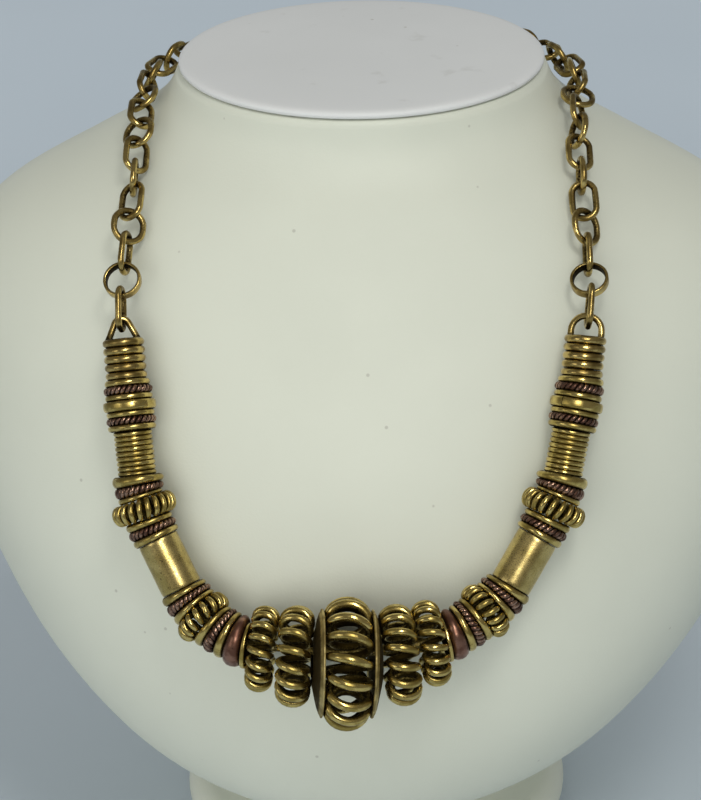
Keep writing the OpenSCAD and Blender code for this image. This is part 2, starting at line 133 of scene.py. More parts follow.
STRETCHES = {
    Side.LEFT: (
        Stretch(14, -5, 0.9), Stretch(19, -4, 0.8), Stretch(25, 8, 2.0), Stretch(29, 20, 0.35),
        Stretch(32, 33, 0.6), Stretch(35, 43, 0.65), Stretch(41, 53, 0.85), Stretch(50, 58, 0.5),
        Stretch(75, 61, 0.75), Stretch(77, 60, 0.2),
    ),
    Side.RIGHT: (
        Stretch(16, 5, 0.9), Stretch(21, 8, 0.35), Stretch(25, 13, 0.75), Stretch(31, 23, 0.75),
        Stretch(33, 28, 0.15), Stretch(35, 34, 0.45), Stretch(42, 49, 1.0), Stretch(48, 53, 0.45),
        Stretch(70, 59, 0.8), Stretch(79, 60, 0.4),
    ),
}

STRING = (
    Threaded("inner_coil_bead", 0, 9.4), Threaded("outer_coil_bead", 1, 7.6),
    Threaded("thin_washer", 2, 0.7), Threaded("copper_ring", 2, 2.7),
    Threaded("f_inner", 3, 1.4), Threaded("f_rope", 3, 1.6), Threaded("f_outer", 3, 1.4),
    Threaded("lower_ribbed_bead", 4, 5.4),
    Threaded("e_inner", 5, 1.4), Threaded("e_rope", 5, 1.6), Threaded("e_outer", 5, 1.4),
    Threaded("plain_tube", 6, 15.8),
    Threaded("d_inner", 6, 1.7), Threaded("d_rope", 6, 1.9), Threaded("d_outer", 6, 1.7),
    Threaded("upper_ribbed_bead", 7, 6.0),
    Threaded("c_inner", 8, 1.1), Threaded("c_rope", 8, 1.9), Threaded("c_outer", 8, 2.0),
    Threaded("lower_coil_tube", 8, 13.0),
    Threaded("b_inner", 8, 1.7), Threaded("b_rope", 8, 1.9), Threaded("b_outer", 8, 1.7),
    Threaded("band_ring", 8, 2.9),
    Threaded("a_inner", 8, 1.7), Threaded("a_rope", 8, 1.9), Threaded("a_outer", 8, 1.7),
    Threaded("upper_coil_tube", 9, 12.0),
)

# The five coil beads sit loose: degrees turned back and of rise of each one's axis, going right
CENTRE_LEAN = (7.0, -4.0)
INNER_LEAN = {Side.LEFT: (1.0, -4.0), Side.RIGHT: (10.0, 3.0)}
OUTER_LEAN = {Side.LEFT: (0.0, -7.0), Side.RIGHT: (12.0, 7.0)}

# Outer radii of the rings of each cluster, whose letters run from the centre outwards, f to a
SPACER_RADII = {
    "f_inner": 7.2, "f_outer": 7.2, "e_inner": 7.2, "e_outer": 7.0, "d_inner": 7.0, "d_outer": 7.0,
    "c_inner": 6.6, "c_outer": 7.5, "b_inner": 7.0, "b_outer": 7.0, "a_inner": 6.9, "a_outer": 6.6,
}
ROPE_RADII = {"f": 7.2, "e": 7.2, "d": 7.1, "c": 7.1, "b": 7.1, "a": 7.0}
# The twisted ropes stand out a little, and press into the rings beside them
ROPE_OUT = 0.15
ROPE_SWELL = 1.12
COPPER_RING_RADIUS = 7.6
# Degrees round the string from its own X axis where the thick band is cut
BAND_CUT_AT = {Side.LEFT: 0.0, Side.RIGHT: 165.0}


@dataclass(frozen=True)
class Cluster:
    """Rings that stand fanned between two firm pieces, named from the centre outwards."""

    inner: str
    outer: str
    rings: tuple[str, ...]


@dataclass(frozen=True)
class RingPlace:
    """Place of a ring in its cluster, its thickness, and how the string bends there.

    The bend is the turn in radians a millimetre, towards the closed side, in the ring's own axes.
    """

    place: Matrix
    thickness: float
    bend: Vector

    def wedge(self, piece: bpy.types.Object) -> None:
        """Presses a ring thinner on the closed side of the bend, and sets it in its place.

        Args:
            piece: ring built round its own Z axis.
        """
        for point in piece.data.vertices:
            point.co.z *= 1.0 - point.co.dot(self.bend)
        piece.data.transform(self.place)


CLUSTERS = (
    Cluster("outer_coil_bead", "lower_ribbed_bead",
            ("thin_washer", "copper_ring", "f_inner", "f_rope", "f_outer")),
    Cluster("lower_ribbed_bead", "plain_tube", ("e_inner", "e_rope", "e_outer")),
    Cluster("plain_tube", "upper_ribbed_bead", ("d_inner", "d_rope", "d_outer")),
    Cluster("upper_ribbed_bead", "lower_coil_tube", ("c_inner", "c_rope", "c_outer")),
    Cluster("lower_coil_tube", "band_ring", ("b_inner", "b_rope", "b_outer")),
    Cluster("band_ring", "upper_coil_tube", ("a_inner", "a_rope", "a_outer")),
)


def clear_selection() -> None:
    """Deselects every object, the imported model's nodes among them."""
    if bpy.context.object is not None and bpy.context.object.mode != "OBJECT":
        bpy.ops.object.mode_set(mode="OBJECT")
    bpy.ops.object.select_all(action="DESELECT")


def select_only(piece: bpy.types.Object) -> None:
    """Selects one piece and nothing else, and makes it the active one.

    Args:
        piece: object to work on.
    """
    clear_selection()
    piece.select_set(True)
    bpy.context.view_layer.objects.active = piece


def named(name: str) -> bpy.types.Object:
    """Names the object that was just added.

    Args:
        name: new name of the object and its mesh.

    Returns:
        The object.
    """
    piece = bpy.context.object
    piece.name = name
    piece.data.name = name
    return piece


def edit(piece: bpy.types.Object) -> None:
    """Opens a piece for editing with nothing selected in it.

    Args:
        piece: mesh object.
    """
    select_only(piece)
    bpy.ops.object.mode_set(mode="EDIT")
    bpy.ops.mesh.select_mode(type="VERT")
    bpy.ops.mesh.select_all(action="DESELECT")


def close_edit() -> None:
    """Goes back to object mode."""
    bpy.ops.object.mode_set(mode="OBJECT")


def pick(piece: bpy.types.Object, wanted: Callable[[Vector], bool]) -> None:
    """Selects the points of the open piece that lie where they are wanted.

    Args:
        piece: mesh object in edit mode.
        wanted: says of a point's place whether it is selected.
    """
    shape = bmesh.from_edit_mesh(piece.data)
    for point in shape.verts:
        point.select = wanted(point.co)
    shape.select_flush(True)
    shape.select_flush(False)
    bmesh.update_edit_mesh(piece.data)


def finish_with(piece: bpy.types.Object, kind: str, **settings: object) -> None:
    """Adds a modifier to a piece and applies it.

    Args:
        piece: mesh object.
        kind: type of the modifier.
        **settings: values set on it first.
    """
    select_only(piece)
    modifier = piece.modifiers.new(kind.lower(), kind)
    for key, value in settings.items():
        setattr(modifier, key, value)
    bpy.ops.object.modifier_apply(modifier=modifier.name)


def make_uneven(piece: bpy.types.Object, depth: float, grain: float, shift: float = 0.0) -> None:
    """Moves a mesh's points a little in and out, as handmade metal is never quite even.

    Args:
        piece: mesh object.
        depth: greatest move, in millimetres.
        grain: size of the dents, in millimetres.
        shift: offset of the pattern, so that copies differ.
    """
    for point in piece.data.vertices:
        place = point.co / grain + Vector((shift, 2.0 * shift, -shift))
        point.co += point.normal * depth * noise.noise(place)


def smooth(piece: bpy.types.Object, degrees: float = 40.0) -> None:
    """Closes doubles, turns the faces outwards and shades the piece smooth up to an angle.

    Args:
        piece: mesh object.
        degrees: angle between two faces past which their edge stays sharp.
    """
    edit(piece)
    bpy.ops.mesh.select_all(action="SELECT")
    bpy.ops.mesh.remove_doubles(threshold=WELD)
    bpy.ops.mesh.normals_make_consistent(inside=False)
    close_edit()
    bpy.ops.object.shade_smooth_by_angle(angle=math.radians(degrees))


def join(pieces: Sequence[bpy.types.Object], name: str) -> bpy.types.Object:
    """Joins pieces into one mesh.

    Args:
        pieces: mesh objects.
        name: name of the joined one.

    Returns:
        The joined object.
    """
    clear_selection()
    for piece in pieces:
        piece.select_set(True)
    bpy.context.view_layer.objects.active = pieces[0]
    if len(pieces) > 1:
        bpy.ops.object.join()
    return named(name)


def mark(piece: bpy.types.Object, value: Callable[[Vector], float]) -> None:
    """Stores on each point how deep it lies in a recess, where painted shade and dirt darken it.

    Args:
        piece: mesh object, still round its own axis.
        value: depth for a point's place, cut to between 0 and 1.
    """
    layer = piece.data.attributes.new(RECESS, "FLOAT", "POINT")
    layer.data.foreach_set(
        "value", [min(1.0, max(0.0, value(point.co))) for point in piece.data.vertices]
    )


def put(piece: bpy.types.Object, place: Optional[Matrix] = None) -> None:
    """Moves a piece's mesh from its own axis to its place, and from millimetres to metres.

    Args:
        piece: mesh object at the origin.
        place: where it goes, in millimetres, left out when its mesh is already there.
    """
    metres = Matrix.Scale(METRES, 4)
    piece.data.transform(metres if place is None else metres @ place)
    piece.matrix_world = Matrix.Identity(4)
    piece.data.update()


def wire(
    name: str, points: Sequence[Vector], radius: float, closed: bool, sides: int = 10,
    swell: Optional[Sequence[float]] = None,
) -> bpy.types.Object:
    """Runs a round wire through points and makes it a mesh.

    Args:
        name: name of the piece.
        points: points along the wire, in millimetres.
        radius: radius of the wire.
        closed: whether the wire joins its own end.
        sides: faces round the wire, an even number.
        swell: factor on the radius at each point, 1 when left out.

    Returns:
        The wire's mesh object.
    """
    line = bpy.data.curves.new(name, "CURVE")
    line.dimensions = "3D"
    line.bevel_depth = radius
    line.bevel_resolution = sides // 2 - 2
    line.use_fill_caps = not closed
    spline = line.splines.new("POLY")
    spline.points.add(len(points) - 1)
    for spot, point, factor in zip(spline.points, points, swell or [1.0] * len(points)):
        spot.co = (*point, 1.0)
        spot.radius = factor
    spline.use_cyclic_u = closed
    piece = bpy.data.objects.new(name, line)
    bpy.context.scene.collection.objects.link(piece)
    select_only(piece)
    bpy.ops.object.convert(target="MESH")
    return named(name)


def hoop(
    name: str, middle: float, thick: float, segments: int, sides: int = 12
) -> bpy.types.Object:
    """Adds a ring of round wire, from which rings, coils, links and eyes are shaped.

    Args:
        name: name of the piece.
        middle: radius of the ring at the middle of its wire.
        thick: radius of the wire.
        segments: points round the ring.
        sides: points round the wire.

    Returns:
        The ring round its own Z axis.
    """
    clear_selection()
    bpy.ops.mesh.primitive_torus_add(
        major_radius=middle, minor_radius=thick, major_segments=segments, minor_segments=sides,
        location=ORIGIN,
    )
    return named(name)


def arc(middle: tuple[float, float], radius: float, degrees: range) -> list[tuple[float, float]]:
    """Points of a profile along part of a circle.

    Args:
        middle: radius and height of the circle's middle in the profile.
        radius: the circle's own radius.
        degrees: directions of the points from its middle, 0 outwards and 90 upwards.

    Returns:
        Radius and height of each point.
    """
    return [
        (middle[0] + radius * math.cos(math.radians(turn)),
         middle[1] + radius * math.sin(math.radians(turn)))
        for turn in degrees
    ]


def off_axis(at: Vector) -> float:
    """Distance of a point from its piece's own axis."""
    return math.hypot(at.x, at.y)


def lathe(name: str, rows: Profile, closed: bool, sides: int = 72) -> bpy.types.Object:
    """Turns a profile round Z, ring by ring, from one circle.

    Args:
        name: name of the piece.
        rows: radius and height of each ring, in order.
        closed: whether the last ring is joined to the first; if not, both ends are closed flat.
        sides: points round the circle.

    Returns:
        The turned mesh object.
    """
    clear_selection()
    bpy.ops.mesh.primitive_circle_add(vertices=sides, radius=rows[0][0], location=ORIGIN)
    piece = named(name)
    edit(piece)
    bpy.ops.mesh.select_all(action="SELECT")
    bpy.ops.transform.translate(value=(0, 0, rows[0][1]))
    for (radius, height), (next_radius, next_height) in zip(rows, rows[1:]):
        bpy.ops.mesh.extrude_region_move(
            TRANSFORM_OT_translate={"value": (0, 0, next_height - height)}
        )
        growth = next_radius / radius
        bpy.ops.transform.resize(value=(growth, growth, 1), center_override=(0, 0, next_height))
    if closed:
        last = (len(rows) - 1) * sides
        shape = bmesh.from_edit_mesh(piece.data)
        for number, point in enumerate(shape.verts):
            point.select = number < sides or number >= last
        shape.select_flush(True)
        for edge in shape.edges:
            ends = sorted(point.index for point in edge.verts)
            edge.select = ends[1] < sides or ends[0] >= last
        for face in shape.faces:
            face.select = False
        bmesh.update_edit_mesh(piece.data)
        bpy.ops.mesh.select_mode(type="EDGE")
        bpy.ops.mesh.bridge_edge_loops()
    else:
        bpy.ops.mesh.edge_face_add()
        bpy.ops.mesh.select_all(action="DESELECT")
        shape = bmesh.from_edit_mesh(piece.data)
        shape.verts.ensure_lookup_table()
        for number in range(sides):
            shape.verts[number].select = True
        shape.select_flush(True)
        bmesh.update_edit_mesh(piece.data)
        bpy.ops.mesh.edge_face_add()
    close_edit()
    return piece


def aim(at: Vector, heading: Vector) -> Matrix:
    """Place of a piece whose own Z axis lies along a direction.

    Args:
        at: where its middle goes.
        heading: unit direction of its axis.

    Returns:
        The place as a matrix.
    """
    lean = Matrix.Rotation(math.acos(heading.z), 4, "Y")
    turn = Matrix.Rotation(math.atan2(heading.y, heading.x), 4, "Z")
    return Matrix.Translation(at) @ turn @ lean


def lean_of(angles: tuple[float, float]) -> Vector:
    """Direction to the right, turned back and raised by some degrees.

    Args:
        angles: degrees turned back, degrees of rise.

    Returns:
        Unit direction.
    """
    turned, rise = (math.radians(angle) for angle in angles)
    return Vector((
        math.cos(turned) * math.cos(rise), math.sin(turned) * math.cos(rise), math.sin(rise)
    ))


@dataclass(frozen=True)
class StringLine:
    """The bent wire of one half of the necklace, and the places of the pieces on it."""

    side: Side

    def way(self, number: int) -> Vector:
        """Direction of one straight stretch, from the centre outwards.

        Args:
            number: index of the stretch.

        Returns:
            Unit direction.
        """
        stretch = STRETCHES[self.side][number]
        way = lean_of((stretch.turned, stretch.rise))
        way.x *= self.side.value
        return way

    def room(self, number: int) -> float:
        """Room kept free round a bend; none is needed past the last stretch."""
        rows = STRETCHES[self.side]
        return rows[number].room if number < len(rows) else 0.0

    def bend(self, number: int) -> Vector:
        """Where a stretch begins.

        Args:
            number: index of the stretch.

        Returns:
            Place of the bend, in millimetres.
        """
        start = CUP_AT + CUP_DEPTH + self.room(0)
        at = CENTRE + Vector((self.side.value * start, 0.0, 0.0))
        for index in range(number):
            lengths = [row.length for row in STRING if row.stretch == index]
            run = sum(lengths) + STRING_GAP * (len(lengths) - 1)
            at = at + self.way(index) * (self.room(index) + run + self.room(index + 1))
        return at

    def spot(self, name: str) -> Vector:
        """Middle of a named piece on the string.

        Args:
            name: name of the piece in the string's table.

        Returns:
            Place in millimetres.
        """
        row = next(row for row in STRING if row.name == name)
        before = [
            other.length + STRING_GAP
            for other in STRING[:STRING.index(row)] if other.stretch == row.stretch
        ]
        along = self.room(row.stretch) + sum(before) + row.length / 2
        return self.bend(row.stretch) + self.way(row.stretch) * along

    def heading(self, name: str) -> Vector:
        """Direction of the string at a named piece."""
        return self.way(next(row.stretch for row in STRING if row.name == name))

    def place(self, name: str) -> Matrix:
        """Place of a named piece as a matrix, its axis along the string."""
        return aim(self.spot(name), self.heading(name))

    def fanned(self, cluster: Cluster) -> dict[str, RingPlace]:
        """Places of the rings between two firm pieces, turned evenly from one to the other.

        Args:
            cluster: the firm pieces and the rings.

        Returns:
            The place of each ring by its name.
        """
        length = {row.name: row.length for row in STRING}
        inner, last = self.heading(cluster.inner), self.heading(cluster.outer)
        middle, lean = self.spot(cluster.inner), inner
        if cluster.inner == "outer_coil_bead":
            middle = middle + OUTER_HANG
            lean = lean_of(OUTER_LEAN[self.side]) * self.side.value
        first = (2 * lean + inner).normalized()
        start = middle + lean * length[cluster.inner] / 2
        end = self.spot(cluster.outer) - last * length[cluster.outer] / 2
        span = (end - start).length
        gaps = len(cluster.rings) + 1
        solid = sum(length[name] for name in cluster.rings)
        swell = min(MOST_SWELL, max(1.0, span / solid))
        gap = (span - solid * swell) / gaps
        places = {}
        along = 0.0
        for name in cluster.rings:
            thick = length[name] * swell
            part = (along + gap + thick / 2) / span
            place = aim(start.lerp(end, part), first.lerp(last, part).normalized())
            closed = place.to_3x3().inverted() @ (last - first) / span
            places[name] = RingPlace(place, thick, closed)
            along += gap + thick
        return places


# Rays that look for hidden surroundings at each point
CROWDING_SAMPLES = 8


class Desk:
    """Lays out the shader nodes of one material."""

    def __init__(self, name: str) -> None:
        """Starts a material with an output and a principled shader.

        Args:
            name: name of the material.
        """
        self.material = bpy.data.materials.new(name)
        self.material.use_nodes = True
        self.tree = self.material.node_tree
        self.tree.nodes.clear()
        self.shader = self.tree.nodes.new("ShaderNodeBsdfPrincipled")
        output = self.tree.nodes.new("ShaderNodeOutputMaterial")
        self.join(self.shader.outputs["BSDF"], output.inputs["Surface"])
        self.coordinates = self.tree.nodes.new("ShaderNodeTexCoord").outputs["Object"]

    def join(self, start: bpy.types.NodeSocket, end: bpy.types.NodeSocket) -> None:
        """Links two sockets."""
        self.tree.links.new(start, end)

    def feed(self, socket: bpy.types.NodeSocket, value: object) -> None:
        """Links a socket, or sets a plain value on it.

        Args:
            socket: input of a node.
            value: output of another node, a number or a colour.
        """
        if isinstance(value, bpy.types.NodeSocket):
            self.join(value, socket)
        elif isinstance(value, tuple) and len(value) == 3 and socket.type == "RGBA":
            socket.default_value = (*value, 1.0)
        else:
            socket.default_value = value

    def noise(self, scale: float, detail: float = 3.0) -> bpy.types.NodeSocket:
        """Cloudy pattern.

        Args:
            scale: patches per metre.
            detail: octaves of finer clouds.

        Returns:
            Socket from 0 to 1.
        """
        node = self.tree.nodes.new("ShaderNodeTexNoise")
        self.join(self.coordinates, node.inputs["Vector"])
        node.inputs["Scale"].default_value = scale
        node.inputs["Detail"].default_value = detail
        return node.outputs["Fac"]

    def cells(self, scale: float) -> bpy.types.NodeSocket:
        """Distance from the middle of the nearest cell, for grain and specks.

        Args:
            scale: cells per metre.

        Returns:
            Socket from 0 in the middle of a cell.
        """
        node = self.tree.nodes.new("ShaderNodeTexVoronoi")
        self.join(self.coordinates, node.inputs["Vector"])
        node.inputs["Scale"].default_value = scale
        return node.outputs["Distance"]

    def recess(self) -> bpy.types.NodeSocket:
        """How deep a point lies in a recess, as the mesh stores it.

        Returns:
            Socket from 0 to 1.
        """
        node = self.tree.nodes.new("ShaderNodeAttribute")
        node.attribute_name = RECESS
        return node.outputs["Fac"]

    def depthwise(self) -> bpy.types.NodeSocket:
        """Distance towards the back.

        Returns:
            Socket in metres from the origin.
        """
        node = self.tree.nodes.new("ShaderNodeSeparateXYZ")
        self.join(self.coordinates, node.inputs["Vector"])
        return node.outputs["Y"]

    def crowding(self, reach: float) -> bpy.types.NodeSocket:
        """How much of the near surroundings is hidden.

        Args:
            reach: how far the surroundings go, in metres.

        Returns:
            Socket from 0 in the open to 1 in a deep gap.
        """
        node = self.tree.nodes.new("ShaderNodeAmbientOcclusion")
        node.samples = CROWDING_SAMPLES
        node.inputs["Distance"].default_value = reach
        return self.sum("SUBTRACT", 1.0, node.outputs["AO"])

    def span(
        self, value: bpy.types.NodeSocket, low: float, high: float,
        to_low: float = 0.0, to_high: float = 1.0,
    ) -> bpy.types.NodeSocket:
        """Spreads a range of a value over another range, cut at both ends.

        Args:
            value: socket to spread.
            low: value that becomes to_low.
            high: value that becomes to_high.
            to_low: start of the new range.
            to_high: end of the new range.

        Returns:
            Socket of the new value.
        """
        node = self.tree.nodes.new("ShaderNodeMapRange")
        node.interpolation_type = "SMOOTHSTEP"
        self.feed(node.inputs["Value"], value)
        node.inputs["From Min"].default_value = low
        node.inputs["From Max"].default_value = high
        node.inputs["To Min"].default_value = to_low
        node.inputs["To Max"].default_value = to_high
        return node.outputs["Result"]

    def sum(self, operation: str, first: object, second: object) -> bpy.types.NodeSocket:
        """Arithmetic on two values, cut to between 0 and 1.

        Args:
            operation: name of the arithmetic.
            first: socket or number.
            second: socket or number.

        Returns:
            Socket of the outcome.
        """
        node = self.tree.nodes.new("ShaderNodeMath")
        node.operation = operation
        node.use_clamp = True
        self.feed(node.inputs[0], first)
        self.feed(node.inputs[1], second)
        return node.outputs["Value"]

    def mix(self, amount: object, first: object, second: object) -> bpy.types.NodeSocket:
        """Blend of two colours.

        Args:
            amount: share of the second colour, a socket or a number.
            first: socket or colour.
            second: socket or colour.

        Returns:
            Socket of the blended colour.
        """
        node = self.tree.nodes.new("ShaderNodeMix")
        node.data_type = "RGBA"
        self.feed(node.inputs["Factor"], amount)
        colours = [socket for socket in node.inputs if socket.type == "RGBA"]
        self.feed(colours[0], first)
        self.feed(colours[1], second)
        return next(socket for socket in node.outputs if socket.type == "RGBA")

    def bump(self, height: bpy.types.NodeSocket, strength: float, depth: float) -> None:
        """Raises the surface by a height pattern.

        Args:
            height: socket of the pattern.
            strength: share of the bump that shows, from 0 to 1.
            depth: height in metres of the pattern's full range.
        """
        node = self.tree.nodes.new("ShaderNodeBump")
        node.inputs["Strength"].default_value = strength
        node.inputs["Distance"].default_value = depth
        self.join(height, node.inputs["Height"])
        self.join(node.outputs["Normal"], self.shader.inputs["Normal"])


@dataclass(frozen=True)
class AgedMetal:
    """Old metal: polished where it is rubbed, dark where it lies deep, as patina and painted shade.

    Bright, dull and dark are the colours of rubbed, clouded and dirty metal, dark also that of the
    shade painted in recesses and gaps. The reach of that painted shade and the height of the grain
    are in metres, and the other numbers are shares or roughnesses.
    """

    name: str
    slot: str
    bright: Colour
    dull: Colour
    dark: Colour
    polish: float = 0.24
    tarnish: float = 0.55
    depth_of_dark: float = 0.55
    spots: float = 0.35
    dark_before: float = 0.25
    dark_after: float = 0.3
    rough_spread: float = 0.16
    shade_reach: float = 0.0022
    grain_height: float = 0.00006

    def make(self) -> bpy.types.Material:
        """Builds the material.

        Returns:
            Metal with patina and painted shade by recess and by hidden surroundings, and cloudy
            patches.
        """
        desk = Desk(self.name)
        patches = desk.span(desk.noise(scale=260.0, detail=4.0), 0.36, 0.62)
        fine = desk.noise(scale=1900.0)
        # Painted shade: ambient occlusion darkens gaps between pieces and metal close to the bust
        hidden = desk.span(desk.crowding(self.shade_reach), 0.18, 0.82)
        recess = desk.sum("MAXIMUM", desk.recess(), hidden)
        uneven = desk.sum("ADD", recess, desk.span(fine, 0.3, 0.7, -0.12, 0.12))
        # Painted shade with patina: the marked recesses and the gaps turn to the dark colour
        deep = desk.span(
            uneven, self.depth_of_dark - self.dark_before, self.depth_of_dark + self.dark_after
        )
        worn = desk.mix(desk.sum("MULTIPLY", patches, self.spots + 0.5), self.bright, self.dull)
        speckled = desk.mix(desk.span(fine, 0.62, 0.75, 0.0, self.spots), worn, self.dark)
        desk.join(desk.mix(deep, speckled, self.dark), desk.shader.inputs["Base Color"])
        desk.shader.inputs["Metallic"].default_value = 1.0
        clouded = desk.span(patches, 0.0, 1.0, self.polish, self.polish + self.rough_spread)
        tarnished = desk.span(deep, 0.0, 1.0, 0.0, self.tarnish - self.polish)
        desk.join(desk.sum("ADD", clouded, tarnished), desk.shader.inputs["Roughness"])
        desk.bump(fine, 0.35, self.grain_height)
        return desk.material


@dataclass(frozen=True)
class SatinBrass:
    """Pale brass tube with a satin, finely speckled skin, and dark ends of painted shade."""

    name: str = "satin_tube"
    slot: str = "satin_brass"
    bright: Colour = (0.64, 0.50, 0.20)
    dull: Colour = (0.46, 0.35, 0.12)
    speck: Colour = (0.17, 0.125, 0.045)
    pit: Colour = (0.10, 0.07, 0.03)
    # Dark colour of the painted shade at the ends, where rings meet the tube, and in the bore
    rim: Colour = (0.07, 0.045, 0.02)
    grain_height: float = 0.00005

    def make(self) -> bpy.types.Material:
        """Builds the material.

        Returns:
            Satin brass with specks, and painted shade as a dark line at the rims and in the bore.
        """
        desk = Desk(self.name)
        specks = desk.noise(scale=2600.0, detail=2.0)
        clouds = desk.noise(scale=230.0, detail=4.0)
        pits = desk.span(desk.cells(scale=620.0), 0.10, 0.22, 0.75, 0.0)
        base = desk.mix(desk.span(clouds, 0.35, 0.7), self.bright, self.dull)
        speckled = desk.mix(desk.span(specks, 0.55, 0.72, 0.0, 0.6), base, self.speck)
        grouped = desk.sum("MULTIPLY", pits, desk.span(clouds, 0.45, 0.6))
        pitted = desk.mix(grouped, speckled, self.pit)
        # Painted shade at the rims and in the bore
        ends = desk.span(desk.recess(), 0.35, 0.85)
        desk.join(desk.mix(ends, pitted, self.rim), desk.shader.inputs["Base Color"])
        desk.shader.inputs["Metallic"].default_value = 1.0
        desk.join(desk.span(specks, 0.3, 0.7, 0.24, 0.36), desk.shader.inputs["Roughness"])
        desk.bump(specks, 0.4, self.grain_height)
        return desk.material


@dataclass(frozen=True)
class Leatherette:
    """White leatherette with a fine grain, faint clouds and a few specks."""

    name: str = "white_leatherette_skin"
    base: Colour = (0.74, 0.76, 0.655)
    cloud: Colour = (0.70, 0.72, 0.62)
    seam: Colour = (0.16, 0.14, 0.11)
    scuff: Colour = (0.42, 0.41, 0.37)
    speck: Colour = (0.35, 0.33, 0.28)
    scuffs: float = 0.0
    grain_height: float = 0.00012

    def make(self) -> bpy.types.Material:
        """Builds the material.

        Returns:
            Leatherette with grain by bump and specks by colour.
        """
        desk = Desk(self.name)
        grain = desk.cells(scale=1500.0)
        clouds = desk.noise(scale=14.0)
        specks = desk.span(desk.cells(scale=75.0), 0.025, 0.05, 0.45, 0.0)
        skin = desk.mix(desk.span(clouds, 0.3, 0.7), self.base, self.cloud)
        patchy = desk.span(desk.noise(scale=160.0, detail=5.0), 0.35, 0.75, 0.3, 1.0)
        grimy = desk.sum("MULTIPLY", desk.recess(), patchy)
        aged = desk.mix(grimy, skin, self.seam)
        worn = desk.span(desk.noise(scale=90.0, detail=6.0), 0.64, 0.74, 0.0, self.scuffs)
        rubbed = desk.mix(worn, aged, self.scuff)
        desk.join(desk.mix(specks, rubbed, self.speck), desk.shader.inputs["Base Color"])
        desk.join(desk.span(clouds, 0.2, 0.8, 0.46, 0.58), desk.shader.inputs["Roughness"])
        desk.shader.inputs["Specular IOR Level"].default_value = 0.4
        desk.bump(grain, 0.18, self.grain_height)
        return desk.material


@dataclass(frozen=True)
class Paper:
    """Pale blue-grey studio paper, painted darker near the bust as the bust's shadow on it.

    Each pair of colours is mottled together, and the far pair is reached some metres behind.
    """

    name: str = "studio_paper"
    # The near pair is painted darker, as the bust's shadow on the paper
    near: tuple[Colour, Colour] = ((0.54, 0.61, 0.67), (0.57, 0.64, 0.70))
    far: tuple[Colour, Colour] = ((0.74, 0.84, 0.94), (0.78, 0.88, 0.98))
    far_at: float = 0.8
    grain_height: float = 0.0002

    def make(self) -> bpy.types.Material:
        """Builds the material.

        Returns:
            Matt paper with a faint mottle and a painted shadow near the bust.
        """
        desk = Desk(self.name)
        mottle = desk.span(desk.noise(scale=3.0, detail=2.0), 0.3, 0.7)
        far = desk.mix(mottle, *self.far)
        near = desk.mix(mottle, *self.near)
        # Painted shadow: the paper darkens towards the bust, in front
        distance = desk.span(desk.depthwise(), 0.0, self.far_at)
        desk.join(desk.mix(distance, near, far), desk.shader.inputs["Base Color"])
        desk.shader.inputs["Roughness"].default_value = 0.9
        desk.shader.inputs["Specular IOR Level"].default_value = 0.1
        desk.bump(desk.noise(scale=900.0, detail=2.0), 0.1, self.grain_height)
        return desk.material


AGED_BRASS = AgedMetal(
    "aged_brass_wire", "aged_brass", polish=0.17, depth_of_dark=0.54,
    bright=(0.70, 0.54, 0.19), dull=(0.33, 0.24, 0.06), dark=(0.042, 0.027, 0.006),
)
BROWN_BRASS = AgedMetal(
    "brown_brass_wire", "aged_brass", polish=0.19, depth_of_dark=0.46, spots=0.5,
    bright=(0.62, 0.46, 0.165), dull=(0.26, 0.18, 0.055), dark=(0.024, 0.016, 0.006),
)
ROPE_COPPER = AgedMetal(
    "rope_copper_wire", "rope_copper", polish=0.2, spots=0.5, depth_of_dark=0.34,
    bright=(0.48, 0.30, 0.215), dull=(0.14, 0.072, 0.05), dark=(0.010, 0.005, 0.003),
)
RED_COPPER = AgedMetal(
    "red_copper_wire", "red_copper", polish=0.28, spots=0.55, depth_of_dark=0.6,
    bright=(0.34, 0.185, 0.13), dull=(0.17, 0.08, 0.055), dark=(0.02, 0.011, 0.008),
)
DARK_BRONZE = AgedMetal(
    "dark_bronze_cup", "dark_bronze", polish=0.5, tarnish=0.62, spots=0.6, depth_of_dark=0.5,
    bright=(0.66, 0.53, 0.23), dull=(0.34, 0.26, 0.10), dark=(0.07, 0.05, 0.02),
)


class Finishes:
    """Every material, made once, and the dressing of the pieces with them."""

    def __init__(self) -> None:
        """Makes the materials."""
        self.made = {
            finish.slot: finish.make()
            for finish in (AGED_BRASS, ROPE_COPPER, RED_COPPER, DARK_BRONZE, SatinBrass())
        }
        self.brown_brass = BROWN_BRASS.make()
        self.leather = Leatherette().make()
        # The pad's copy of the leatherette is paler and bluer than the body's: painted light and sky
        # reflection on the neck's top, with real scuffs
        self.pad = Leatherette(
            "pad_leatherette_skin", base=(0.79, 0.80, 0.80), cloud=(0.75, 0.76, 0.76), scuffs=0.2
        ).make()

    def dress(self, piece: bpy.types.Object, slot: str, *nodes: str) -> None:
        """Gives a metal piece its material and its body, and hides the nodes that it stands for.

        Args:
            piece: finished mesh object.
            slot: material slot of the record.
            *nodes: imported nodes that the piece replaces.
        """
        self.cover(piece, self.made[slot], slot, *nodes)

    def cover(
        self, piece: bpy.types.Object, material: bpy.types.Material, slot: str, *nodes: str
    ) -> None:
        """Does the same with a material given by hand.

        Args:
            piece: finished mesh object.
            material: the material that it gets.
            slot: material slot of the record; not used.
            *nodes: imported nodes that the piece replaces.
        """
        piece.data.materials.clear()
        piece.data.materials.append(material)
        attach(piece, "root")
        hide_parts(*nodes)
        LOG.info("%s: %d faces", piece.name, len(piece.data.polygons))


